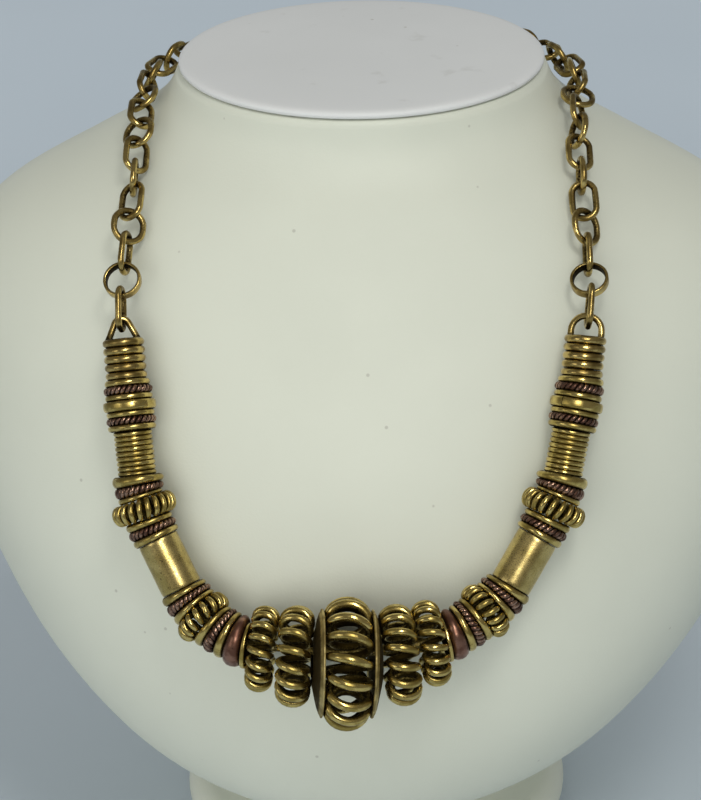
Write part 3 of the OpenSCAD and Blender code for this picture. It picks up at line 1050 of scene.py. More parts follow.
@dataclass(frozen=True)
class NeckBust:
    """The half-length display bust: chest, shoulders and neck, with its pad and round foot."""

    height: float = 274.0
    pad_thickness: float = 2.6
    neck_half: float = 56.0
    neck_front: float = 52.5
    neck_back: float = 52.0
    seam: float = 0.35
    seam_gap: float = 0.2
    seam_shade_and_grime: float = 0.5
    foot_radius: float = 66.0
    foot_thickness: float = 15.0
    stem_radius: float = 35.0
    sides: int = 128
    steps: int = 7

    def rows(self) -> list[tuple[float, float, float, float]]:
        """Heights, half widths, front depths and back depths of the body, smoothed.

        Returns:
            Sections from the chest's underside to the neck's top.
        """
        table = [
            (48, 38, 56, 38), (51, 60, 80, 46), (59, 80, 98, 53), (75, 98, 112, 58),
            (102, 116, 120, 62), (136, 130, 118, 64), (166, 136, 109, 64), (194, 135, 97, 63),
            (215, 128, 85, 61), (231, 113, 75, 58), (245, 88, 65, 55), (254, 71, 57.5, 53),
            (262, 61, 53.5, 52),
            (self.height - self.pad_thickness - self.seam_gap,
             self.neck_half, self.neck_front, self.neck_back),
        ]
        smoothed = spline_rows([Vector(row) for row in table], self.steps)
        rim = smoothed.pop()
        for inset, drop in ((0.0, 1.1), (0.25, 0.45), (0.8, 0.1), (1.6, 0.0)):
            smoothed.append(Vector((rim[0] - drop, rim[1] - inset, rim[2] - inset, rim[3] - inset)))
        return [tuple(row) for row in smoothed]

    def loft(self, name: str, rows: Sequence[tuple[float, ...]]) -> bpy.types.Object:
        """Turns rows of sections into a body whose front and back have their own depths.

        Args:
            name: name of the piece.
            rows: height, half width, front depth, back depth.

        Returns:
            The lofted mesh object.
        """
        piece = lathe(name, [(row[1], row[0]) for row in rows], closed=False, sides=self.sides)
        for number, row in enumerate(rows):
            for index in range(number * self.sides, (number + 1) * self.sides):
                point = piece.data.vertices[index].co
                point.y *= (row[2] if point.y < 0 else row[3]) / row[1]
        return piece

    def build_body(self, finishes: Finishes) -> None:
        """Builds the chest, shoulders and neck.

        Args:
            finishes: the materials.
        """
        piece = self.loft("leatherette_torso", self.rows())
        smooth(piece, degrees=70.0)
        mark(piece, lambda at: 0.0)
        put(piece)
        finishes.cover(piece, finishes.leather, "white_leatherette", "bust_body")

    def build_pad(self, finishes: Finishes) -> None:
        """Builds the soft round pad on the neck's top.

        Args:
            finishes: the materials.
        """
        floor = self.height - self.pad_thickness
        profile = (
            (0.0, 3.0), (0.0, 1.4), (0.12, 0.5), (0.3, 0.1), (0.5, 0.0), (0.68, 0.15), (0.84, 0.7),
            (0.95, 1.6), (1.0, 3.0), (1.06, 7.0), (1.14, 16.0), (1.2, 30.0), (1.22, 50.0),
        )
        rows = [
            (floor + rise * self.pad_thickness,
             self.neck_half - inset, self.neck_front - inset, self.neck_back - inset)
            for rise, inset in profile
        ]
        piece = self.loft("neck_cushion", rows)
        smooth(piece, degrees=70.0)
        mark(piece, lambda at: self.seam_shade_and_grime * (floor + self.seam - at.z) / self.seam)
        put(piece)
        finishes.cover(piece, finishes.pad, "white_leatherette", "bust_pad")

    def build_foot(self, finishes: Finishes) -> None:
        """Builds the round foot with its thick rim and the short stem.

        Args:
            finishes: the materials.
        """
        half = self.foot_thickness / 2
        rim = arc((self.foot_radius - half, half), half, range(-90, 91, 10))
        stem = [
            (52.0, 15.05), (46.0, 16.6), (41.5, 19.5), (38.0, 24.5), (35.8, 29.5),
            (self.stem_radius, 34.0), (self.stem_radius, 47.88),
        ]
        piece = lathe("leatherette_foot", [*rim, *stem], closed=False, sides=96)
        smooth(piece, degrees=60.0)
        mark(piece, lambda at: 0.0)
        put(piece)
        finishes.cover(piece, finishes.leather, "white_leatherette", "bust_foot")

    def build(self, finishes: Finishes) -> None:
        """Builds the whole bust.

        Args:
            finishes: the materials.
        """
        self.build_body(finishes)
        self.build_pad(finishes)
        self.build_foot(finishes)


def spline_rows(rows: Sequence[Vector], steps: int) -> list[Vector]:
    """Smooth run through rows, the same curve that the solids follow.

    Args:
        rows: two or more rows of numbers.
        steps: parts between two rows.

    Returns:
        The smoothed rows, the first and last among them.
    """
    run = []
    count = len(rows)
    for index in range(count - 1):
        before = rows[index - 1] if index > 0 else 2 * rows[0] - rows[1]
        start, end = rows[index], rows[index + 1]
        past = rows[index + 2] if index < count - 2 else 2 * rows[-1] - rows[-2]
        for step in range(steps):
            t = step / steps
            run.append(0.5 * (
                2 * start + (end - before) * t + (2 * before - 5 * start + 4 * end - past) * t * t
                + (3 * start - before - 3 * end + past) * t * t * t
            ))
    run.append(rows[-1].copy())
    return run


@dataclass(frozen=True)
class WoundBead:
    """A bead of wire wound in turns round a ring, pressed thinner where they crowd in the bore.

    The radius, length and depth are outer sizes, the depth that of the wound ring seen endwise.
    """

    radius: float
    length: float
    depth: float
    turns: int
    wire_radius: float
    bore_wire: float
    phase: float = 0.0
    wobble: float = 0.1
    wobbles: float = 3.1
    points: int = 22
    sides: int = 12

    def build(self, name: str, seed: float) -> bpy.types.Object:
        """Winds the bead round its own Z axis.

        Args:
            name: name of the piece.
            seed: shifts the small unevenness of the turns.

        Returns:
            The bead, marked with how deep each point lies.
        """
        wide = self.length / 2 - self.wire_radius
        deep = self.depth / 2 - self.wire_radius
        ring = self.radius - self.wire_radius - deep
        count = self.turns * self.points
        phase = math.radians(self.phase)
        line = []
        swell = []
        for index in range(count):
            part = index / count
            turn = math.tau * part * self.turns
            circle = Vector((math.cos(math.tau * part), math.sin(math.tau * part), seed))
            outward = 0.5 + 0.5 * math.cos(turn)
            stray = self.wobble * math.tau / self.turns * noise.noise(circle * self.wobbles) * outward
            round_at = math.tau * part + phase + stray
            reach = ring + deep * math.cos(turn)
            line.append(Vector((
                reach * math.cos(round_at), reach * math.sin(round_at), wide * math.sin(turn)
            )))
            swell.append(1.0 + (self.bore_wire / self.wire_radius - 1.0) * (1.0 - outward))
        piece = wire(name, line, self.wire_radius, closed=True, sides=self.sides, swell=swell)
        smooth(piece, degrees=80.0)

        def shade_and_grime(at: Vector) -> float:
            """Painted shade with dirt inside the turns and in the bore, least on the outer crest.

            Args:
                at: place of a point.

            Returns:
                How dark it is painted, from 0 to 1.
            """
            reach = off_axis(at) - ring
            outward = math.hypot(reach / deep, at.z / wide)
            inside = 0.5 + (1.0 - outward) * 0.5 * (wide + deep) / (2 * self.wire_radius)
            return max(inside, 0.1 - 0.6 * reach / deep)

        mark(piece, shade_and_grime)
        return piece


@dataclass(frozen=True)
class PlainRing:
    """A ring of round wire, slightly uneven, with a flattened bore."""

    radius: float
    thickness: float
    bore_from: float = 0.35
    bore_shape: Triple = (1.03, 1.03, 0.85)
    side_shade_and_grime: float = 0.9

    def build(self, name: str, seed: float) -> bpy.types.Object:
        """Builds the ring round its own Z axis.

        Args:
            name: name of the piece.
            seed: shifts the unevenness.

        Returns:
            The ring, marked with how deep each point lies between its neighbours.
        """
        half = self.thickness / 2
        middle = self.radius - half
        piece = hoop(name, middle, half, segments=56, sides=14)
        edit(piece)
        pick(piece, lambda at: off_axis(at) < middle - self.bore_from * half)
        bpy.ops.transform.resize(value=self.bore_shape, center_override=ORIGIN)
        close_edit()
        make_uneven(piece, depth=0.05 * half, grain=3.0, shift=seed)
        smooth(piece, degrees=80.0)

        def shade_and_grime(at: Vector) -> float:
            """Painted shade with dirt on the flanks and in the bore, where neighbours crowd."""
            side = abs(at.z) / half
            return max(self.side_shade_and_grime * side * side, (middle + 0.2 - off_axis(at)) / half)

        mark(piece, shade_and_grime)
        return piece


@dataclass(frozen=True)
class RopeRing:
    """A ring of copper wires twisted like a rope."""

    radius: float
    thickness: float
    strands: int = 2
    twists: int = 13
    points: int = 14
    strand_share: float = 0.28

    def build(self, name: str, seed: float) -> bpy.types.Object:
        """Twists the ring round its own Z axis.

        Args:
            name: name of the piece.
            seed: turns the twist, so that no two rings match.

        Returns:
            The ring, marked with how deep each point lies.
        """
        strand = self.thickness * self.strand_share
        half = self.thickness / 2
        offset = half - strand
        middle = self.radius - half
        strands = []
        count = self.twists * self.points
        for number in range(self.strands):
            line = []
            for index in range(count):
                part = index / count
                turn = math.tau * (part * self.twists + number / self.strands) + seed
                reach = middle + offset * math.cos(turn)
                line.append(Vector((
                    reach * math.cos(math.tau * part), reach * math.sin(math.tau * part),
                    offset * math.sin(turn),
                )))
            strands.append(wire(f"strand_{number}", line, strand, closed=True, sides=8))
        piece = join(strands, name)
        smooth(piece, degrees=80.0)

        def shade_and_grime(at: Vector) -> float:
            """Painted shade with dirt between the strands and on the flanks.

            Args:
                at: place of a point.

            Returns:
                How dark it is painted, from 0 to 1.
            """
            out = math.hypot(off_axis(at) - middle, at.z)
            side = abs(at.z) / half
            return max(2.2 * (half - out) / half, 0.6 * side ** 3)

        mark(piece, shade_and_grime)
        return piece


@dataclass(frozen=True)
class CoilTube:
    """A tube of close wire turns."""

    radius: float
    length: float
    turns: int
    slope: float = 0.05
    groove_shade_and_grime: float = 0.85

    def build(self, name: str) -> bpy.types.Object:
        """Stacks the slightly sloping turns along the tube's own Z axis.

        Args:
            name: name of the piece.

        Returns:
            The tube, marked with how deep each point lies between the turns.
        """
        thick = self.length / self.turns / 2
        piece = hoop(name, self.radius - thick, thick, segments=52, sides=14)
        finish_with(
            piece, "ARRAY", count=self.turns, use_relative_offset=False, use_constant_offset=True,
            constant_offset_displace=(0, 0, 2 * thick),
        )
        for point in piece.data.vertices:
            point.co.z += thick - self.length / 2 + self.slope * point.co.x
        make_uneven(piece, depth=0.04, grain=2.5)
        smooth(piece, degrees=60.0)
        # Painted shade with dirt in the grooves between the turns
        mark(piece, lambda at: (self.radius - off_axis(at)) / thick * self.groove_shade_and_grime)
        return piece


class LoopShape(Enum):
    """Shapes of the wire loop at the end of the string: radius of its bend and lean of its legs."""

    TRIANGLE = (2.2, 25.0)
    HORSESHOE = (4.4, 0.0)


@dataclass(frozen=True)
class UpperCoil:
    """The thick end coil of the string with the loop that the chain hangs in.

    The apex is the loop's height above the coil, and its legs sink into the coil by the last size.
    """

    radius: float = 6.05
    length: float = 12.0
    turns: int = 5
    crown_steps: int = 16
    apex: float = 5.7
    sink: float = 2.2

    def loop(self, name: str, shape: LoopShape) -> bpy.types.Object:
        """Bends the end loop above the coil.

        Args:
            name: name of the piece.
            shape: which of the two loops.

        Returns:
            The loop's mesh object.
        """
        bend, lean_degrees = shape.value
        lean = math.radians(lean_degrees)
        leg = (self.apex + self.sink - bend + bend * math.sin(lean)) / math.cos(lean)
        middle = self.length / 2 + self.apex - bend
        feet = [
            Vector((
                0.0, end * (bend * math.cos(lean) + leg * math.sin(lean)),
                middle + bend * math.sin(lean) - leg * math.cos(lean),
            ))
            for end in (1, -1)
        ]
        crown = []
        for step in range(self.crown_steps + 1):
            turn = lean + (math.pi - 2 * lean) * step / self.crown_steps
            crown.append(Vector((0.0, bend * math.cos(turn), middle + bend * math.sin(turn))))
        line = [feet[0], *crown, feet[1]]
        return wire(name, line, LINK_WIRE_R, closed=False, sides=12)

    def build(self, name: str, shape: LoopShape) -> bpy.types.Object:
        """Builds the coil with its loop.

        Args:
            name: name of the piece.
            shape: which of the two loops.

        Returns:
            The joined piece.
        """
        coil = CoilTube(self.radius, self.length, self.turns).build(name)
        loop = self.loop("loop", shape)
        smooth(loop, degrees=60.0)
        # Painted shade on the loop's legs, darker where they sink into the coil
        mark(loop, lambda at: 0.1 + 0.5 * (self.length / 2 + 1.6 - at.z))
        return join([coil, loop], name)


@dataclass(frozen=True)
class BandRing:
    """A thick brass band bent round, with its cut on one side."""

    radius: float = 7.65
    length: float = 2.9
    wall: float = 2.2
    cut: float = 0.2
    rounding: float = 0.85
    side_shade_and_grime: float = 0.75
    sides: int = 96

    def build(self, name: str, cut_at: float) -> bpy.types.Object:
        """Bends the band round its own Z axis.

        Args:
            name: name of the piece.
            cut_at: place of the cut, in degrees round the axis.

        Returns:
            The band, marked on its flat sides and in its bore.
        """
        clear_selection()
        bpy.ops.mesh.primitive_plane_add(
            size=1.0, location=ORIGIN, rotation=(math.pi / 2, 0, 0)
        )
        piece = named(name)
        bpy.ops.object.transform_apply(location=False, rotation=True, scale=False)
        for point in piece.data.vertices:
            point.co.x = self.radius + (point.co.x - 0.5) * self.wall
            point.co.z *= self.length
        edit(piece)
        bpy.ops.mesh.select_all(action="SELECT")
        bpy.ops.mesh.bevel(offset=self.rounding, segments=4, affect="VERTICES")
        bpy.ops.mesh.delete(type="ONLY_FACE")
        close_edit()
        finish_with(
            piece, "SCREW", axis="Z", angle=math.tau - self.cut / self.radius, steps=self.sides,
            render_steps=self.sides, use_smooth_shade=True,
        )
        edit(piece)
        bpy.ops.mesh.select_mode(type="EDGE")
        bpy.ops.mesh.select_non_manifold()
        bpy.ops.mesh.edge_face_add()
        close_edit()
        make_uneven(piece, depth=0.05, grain=3.5)
        smooth(piece, degrees=50.0)

        def shade_and_grime(at: Vector) -> float:
            """Painted shade with dirt towards the flat sides and in the bore.

            Args:
                at: place of a point.

            Returns:
                How dark it is painted, from 0 to 1.
            """
            side = abs(at.z) / (self.length / 2)
            bore = (self.radius - 0.6 * self.wall - off_axis(at)) / (0.4 * self.wall)
            return max(self.side_shade_and_grime * side ** 4, bore)

        mark(piece, shade_and_grime)
        piece.data.transform(Matrix.Rotation(math.radians(cut_at), 4, "Z"))
        return piece


@dataclass(frozen=True)
class PlainTube:
    """A satin brass tube with softly curled rims."""

    radius: float = 6.0
    length: float = 15.8
    wall: float = 0.8
    rounding: float = 0.15
    rings: int = 31

    def build(self, name: str) -> bpy.types.Object:
        """Rolls the tube round its own Z axis.

        Args:
            name: name of the piece.

        Returns:
            The tube, marked at its rims and in its bore.
        """
        clear_selection()
        bpy.ops.mesh.primitive_cylinder_add(
            vertices=80, radius=self.radius, depth=self.length, end_fill_type="NOTHING",
            location=ORIGIN,
        )
        piece = named(name)
        edit(piece)
        bpy.ops.mesh.select_mode(type="EDGE")
        shape = bmesh.from_edit_mesh(piece.data)
        for edge in shape.edges:
            edge.select = abs(edge.verts[0].co.z - edge.verts[1].co.z) > 1.0
        bmesh.update_edit_mesh(piece.data)
        bpy.ops.mesh.subdivide(number_cuts=self.rings)
        bpy.ops.mesh.select_mode(type="VERT")
        half = self.length / 2
        for reach, shrink in ((0.1, 0.975), (0.7, 0.993)):
            pick(piece, lambda at: half - abs(at.z) < reach)
            bpy.ops.transform.resize(value=(shrink, shrink, 1), center_override=ORIGIN)
        close_edit()
        finish_with(piece, "SOLIDIFY", thickness=self.wall, offset=-1.0)
        finish_with(
            piece, "BEVEL", width=self.rounding, segments=2, limit_method="ANGLE",
            angle_limit=math.radians(50),
        )
        make_uneven(piece, depth=0.05, grain=4.0)
        smooth(piece, degrees=50.0)

        def shade_and_grime(at: Vector) -> float:
            """Painted shade with dirt in a narrow line at the rims, and in the bore.

            Args:
                at: place of a point.

            Returns:
                How dark it is painted, from 0 to 1.
            """
            rim = (abs(at.z) - half + 0.55) / 0.6
            bore = (self.radius - 0.35 - off_axis(at)) / 0.3
            return max(0.0, rim, bore)

        mark(piece, shade_and_grime)
        return piece


@dataclass(frozen=True)
class CupWasher:
    """Dished washer, dark with tarnish and painted shade, bright rolled rim, hollow towards -Z."""

    radius: float = 15.0
    rim_radius: float = 0.35
    rim_rise: float = 0.17
    shade_and_grime: float = 0.35

    def build(self, name: str) -> bpy.types.Object:
        """Turns the cup round its own Z axis.

        Args:
            name: name of the piece.

        Returns:
            The cup, marked dark for tarnish and painted shade everywhere but on its bright rim.
        """
        rim = arc((self.radius, self.rim_rise), self.rim_radius, range(-120, 121, 30))
        inside = [(5.7, 2.1), (6.8, 1.9), (8.1, 1.6), (10.2, 1.12), (12.3, 0.6), (13.8, 0.25)]
        outside = [(14.2, 0.95), (12.7, 1.5), (10.5, 2.0), (8.3, 2.4), (6.9, 2.7), (5.7, 2.9)]
        piece = lathe(name, [*inside, *rim, *outside], closed=True, sides=80)
        make_uneven(piece, depth=0.12, grain=6.0)
        smooth(piece, degrees=60.0)
        # Tarnish and painted shade over the cup's face; the rim is left bright
        mark(piece, lambda at: self.shade_and_grime * (self.radius - 0.1 - off_axis(at)) / 0.8)
        return piece


@dataclass(frozen=True)
class ThinWasher:
    """A flat thin washer with rounded edges."""

    radius: float = 6.6
    hole: float = 4.2
    thickness: float = 0.9

    def build(self, name: str) -> bpy.types.Object:
        """Turns the washer round its own Z axis.

        Args:
            name: name of the piece.

        Returns:
            The washer, marked on its flat sides.
        """
        half = self.thickness / 2
        rows = [
            (self.hole + 0.15, -half), (self.hole, -half + 0.15), (self.hole, half - 0.15),
            (self.hole + 0.15, half), (self.radius - 0.25, half), (self.radius - 0.07, half - 0.12),
            (self.radius, half - 0.3), (self.radius, 0.3 - half), (self.radius - 0.07, 0.12 - half),
            (self.radius - 0.25, -half),
        ]
        piece = lathe(name, rows, closed=True, sides=64)
        make_uneven(piece, depth=0.05, grain=3.0)
        smooth(piece, degrees=50.0)
        # Painted shade with dirt on the flat sides, pressed between the neighbours
        mark(piece, lambda at: (self.radius - 0.3 - off_axis(at)) / 0.5)
        return piece


class LinkKind(Enum):
    """The kinds of link in the chain: inner length and outer width."""

    OVAL = (10.0, 8.8)
    ROUND = (8.3, 10.8)
    BAND = (8.3, 11.1)


# Number of the link of flat band, counted from the end loop, which holds link 0
BAND_LINK = 1

# Degrees that the first links of each side are turned about the chain, from the end loop upwards
LINK_TURNS = {
    Side.LEFT: (94.0, 4.0, 90.0, 36.0, -18.0, -68.0, 60.0, 4.0, 75.0, 18.0, -62.0),
    Side.RIGHT: (86.0, -16.0, 88.0, 34.0, -18.0, 80.0, 0.0, 84.0, 22.0, -40.0, 72.0),
}


@dataclass(frozen=True)
class Chain:
    """The chain of one side, from the end loop round the back of the neck.

    Past the links whose turn is in the table, every second link stands edgewise to the bust and
    those between lie on it, swaying a little. The look is the length over which the chain's
    direction is taken, to both sides of a link.
    """

    side: Side
    step: float = 9.0
    clear: float = 0.2
    edgewise: float = 86.0
    sway: float = 8.0
    sway_step: float = 100.0
    look: float = 2.0
    shade_and_grime: float = 0.42

    def route(self) -> list[Vector]:
        """Smooth path of the chain.

        Returns:
            Points in millimetres, from the end coil to the clasp.
        """
        points = {
            Side.LEFT: (
                (-65.5, -79.5, 224), (-65.5, -71, 232), (-65, -59, 242), (-65, -44, 251),
                (-65.5, -25, 260.5), (-66, -6, 264), (-64, 13, 264.5), (-54.5, 32, 264),
                (-39.5, 46.5, 263), (-26, 55, 262.5), (-13, 58, 262), CLASP_AT,
            ),
            Side.RIGHT: (
                (69.5, -76, 226), (69, -65, 233), (68, -52.5, 244), (66.5, -37, 254.5),
                (66, -20, 262), (66, -4, 264.5), (64, 14, 264.5), (54.5, 32, 264),
                (39.5, 46.5, 263), (26, 55, 262.5), (13, 58, 262), CLASP_AT,
            ),
        }[self.side]
        line = StringLine(self.side)
        coil = "upper_coil_tube"
        end = line.spot(coil) + line.heading(coil) * UpperCoil.length / 2
        return spline_rows([end, *(Vector(point) for point in points)], 6)

    def link(self, name: str, kind: LinkKind, seed: float) -> bpy.types.Object:
        """Bends one wire link, its long side along Z and its face towards Y.

        Args:
            name: name of the piece.
            kind: oval or round.
            seed: shifts the unevenness.

        Returns:
            The link, marked on its inner side.
        """
        inner_length, width = kind.value
        straight = inner_length - (width - 4 * LINK_WIRE_R)
        middle = width / 2 - LINK_WIRE_R
        piece = hoop(name, middle, LINK_WIRE_R, segments=40)
        edit(piece)
        for end in (1, -1):
            pick(piece, lambda at: at.y * end > 0.01)
            bpy.ops.transform.translate(value=(0, end * straight / 2, 0))
        close_edit()
        make_uneven(piece, depth=0.1, grain=3.0, shift=seed)
        smooth(piece, degrees=80.0)

        def shade_and_grime(at: Vector) -> float:
            """Painted shade with dirt on the inner side of the wire, where links hook."""
            out = math.hypot(at.x, max(0.0, abs(at.y) - straight / 2))
            return self.shade_and_grime * (middle + 0.5 - out) / LINK_WIRE_R

        mark(piece, shade_and_grime)
        piece.data.transform(Matrix.Rotation(math.pi / 2, 4, "X"))
        return piece

    def band(self, name: str) -> bpy.types.Object:
        """Bends one round link of flat band with its cut, in the same place as a wire link.

        Args:
            name: name of the piece.

        Returns:
            The band link.
        """
        width = LinkKind.BAND.value[1]
        band = BandRing(
            radius=width / 2, length=2.7, wall=0.95, cut=0.15, rounding=0.35, side_shade_and_grime=0.1
        )
        piece = band.build(name, cut_at=35.0)
        piece.data.transform(Matrix.Rotation(math.pi / 2, 4, "X"))
        return piece

    def place(self, path: Sequence[Vector], along: float, turned: float) -> Matrix:
        """Place of a link on the route.

        Args:
            path: points of the route.
            along: distance from the route's start.
            turned: degrees that its face is turned away from the bust.

        Returns:
            The place as a matrix.
        """
        at = after(path, along)
        ahead, behind = after(path, along + self.look), after(path, along - self.look)
        heading = (ahead - behind).normalized()
        # Away from the bust: mostly up over the shoulders, and sideways or back round the neck
        sideways = between(at.y, (-50.0, 0.2), (20.0, 1.0))
        away = Vector((at.x * sideways, at.y * 1.1, between(at.y, (-50.0, 45.0), (40.0, 15.0))))
        up = (away - away.dot(heading) * heading).normalized()
        across = up.cross(heading)
        frame = Matrix((across, up, heading)).transposed().to_4x4()
        return Matrix.Translation(at) @ frame @ Matrix.Rotation(math.radians(turned), 4, "Z")

    def build(self, finishes: Finishes) -> None:
        """Hangs the links one in another and dresses them.

        Args:
            finishes: the materials.
        """
        path = self.route()
        half_in = LinkKind.OVAL.value[0] / 2 + LINK_WIRE_R
        hooked = 2 * LINK_WIRE_R + self.clear
        first = UpperCoil.apex - LINK_WIRE_R - hooked + half_in
        last = length_of(path) - (Clasp.half + Clasp.eye_radius - hooked + half_in)
        steps = 2 * math.ceil((last - first) / self.step / 2)
        turns = LINK_TURNS[self.side]
        links = []
        for number in range(steps + 1):
            along = first + (last - first) * number / steps
            if number < len(turns):
                turned = turns[number]
            elif number % 2 == 0:
                turned = self.edgewise
            else:
                turned = self.sway * math.sin(math.radians(self.sway_step * number))
            kind = LinkKind.OVAL if number % 2 == 0 else LinkKind.ROUND
            name = f"link_{number}"
            if number == BAND_LINK:
                piece = self.band(name)
            else:
                piece = self.link(name, kind, number * 1.7)
            piece.data.transform(self.place(path, along, turned))
            links.append(piece)
        chain = join(links, f"neck_chain_{self.side.word}")
        put(chain)
        finishes.cover(chain, finishes.brown_brass, "aged_brass", f"chain_{self.side.word}")


def between(value: float, low: tuple[float, float], high: tuple[float, float]) -> float:
    """Straight line between two points of a graph, level outside them.

    Args:
        value: place along the graph.
        low: first point, its place and height.
        high: second point, its place and height.

    Returns:
        Height at the value.
    """
    part = (value - low[0]) / (high[0] - low[0])
    return low[1] + (high[1] - low[1]) * min(1.0, max(0.0, part))


def length_of(path: Sequence[Vector]) -> float:
    """Length of a path."""
    return sum((end - start).length for start, end in zip(path, path[1:]))


def after(path: Sequence[Vector], along: float) -> Vector:
    """Point of a path after a given length.

    Args:
        path: points of the path.
        along: length from its start.

    Returns:
        The point, cut at the path's ends.
    """
    left = max(0.0, along)
    for start, end in zip(path, path[1:]):
        run = (end - start).length
        if left <= run:
            return start.lerp(end, left / run)
        left -= run
    return path[-1].copy()


@dataclass(frozen=True)
class Clasp:
    """The closing bar behind the neck with an eye at each end."""

    half: float = 7.0
    eye_radius: float = 2.8
    bar_radius: float = 1.7
    lean: float = 15.0

    def build(self, finishes: Finishes) -> None:
        """Builds the bar and its eyes.

        Args:
            finishes: the materials.
        """
        end = self.half - self.eye_radius + 0.5
        rows = [
            (0.9, -end), (1.3, -end + 0.15), (1.45, -end + 0.5), (1.2, -end + 0.8),
            (1.55, -end + 1.2), (self.bar_radius, -1.4), (self.bar_radius, 1.4), (1.55, end - 1.2),
            (1.2, end - 0.8),
            (1.45, end - 0.5), (1.3, end - 0.15), (0.9, end),
        ]
        bar = lathe("bar", rows, closed=False, sides=24)
        smooth(bar, degrees=50.0)
        # Painted shade with dirt in the bar's narrow grooves
        mark(bar, lambda at: 0.8 * (self.bar_radius - off_axis(at)))
        bar.data.transform(Matrix.Rotation(math.pi / 2, 4, "Y"))
        parts = [bar]
        for side in Side:
            eye = hoop(f"eye_{side.word}", self.eye_radius, LINK_WIRE_R, segments=36)
            make_uneven(eye, depth=0.08, grain=2.0, shift=side.value)
            smooth(eye, degrees=80.0)
            # Painted shade with dirt on the inner side of each eye
            mark(eye, lambda at: 0.4 * (self.eye_radius + 0.5 - off_axis(at)))
            eye.data.transform(
                Matrix.Translation((side.value * self.half, 0, 0))
                @ Matrix.Rotation(math.pi / 2, 4, "X")
            )
            parts.append(eye)
        piece = join(parts, "closing_bar")
        lean = Matrix.Rotation(math.radians(self.lean), 4, "X")
        put(piece, Matrix.Translation(CLASP_AT) @ lean)
        finishes.dress(piece, "aged_brass", "clasp")


CENTRE_BEAD = WoundBead(
    radius=19.0, length=14.0, depth=12.4, turns=16, wire_radius=1.34, bore_wire=1.1, phase=-13.0,
    points=26,
)
INNER_BEAD = WoundBead(
    radius=14.6, length=10.3, depth=8.8, turns=16, wire_radius=1.14, bore_wire=0.9, phase=5.0
)
OUTER_BEAD = WoundBead(
    radius=12.5, length=8.3, depth=7.2, turns=17, wire_radius=1.02, bore_wire=0.78, phase=11.0
)
RIBBED_BEADS = {
    "lower_ribbed_bead": WoundBead(
        radius=8.8, length=6.1, depth=4.6, turns=17, wire_radius=0.92, bore_wire=0.5, phase=4.0,
        wobble=0.05,
    ),
    "upper_ribbed_bead": WoundBead(
        radius=9.6, length=6.4, depth=4.8, turns=21, wire_radius=0.84, bore_wire=0.5, phase=7.0,
        wobble=0.05,
    ),
}
LOWER_COIL = CoilTube(radius=5.6, length=13.0, turns=9)
END_LOOPS = {Side.LEFT: LoopShape.TRIANGLE, Side.RIGHT: LoopShape.HORSESHOE}


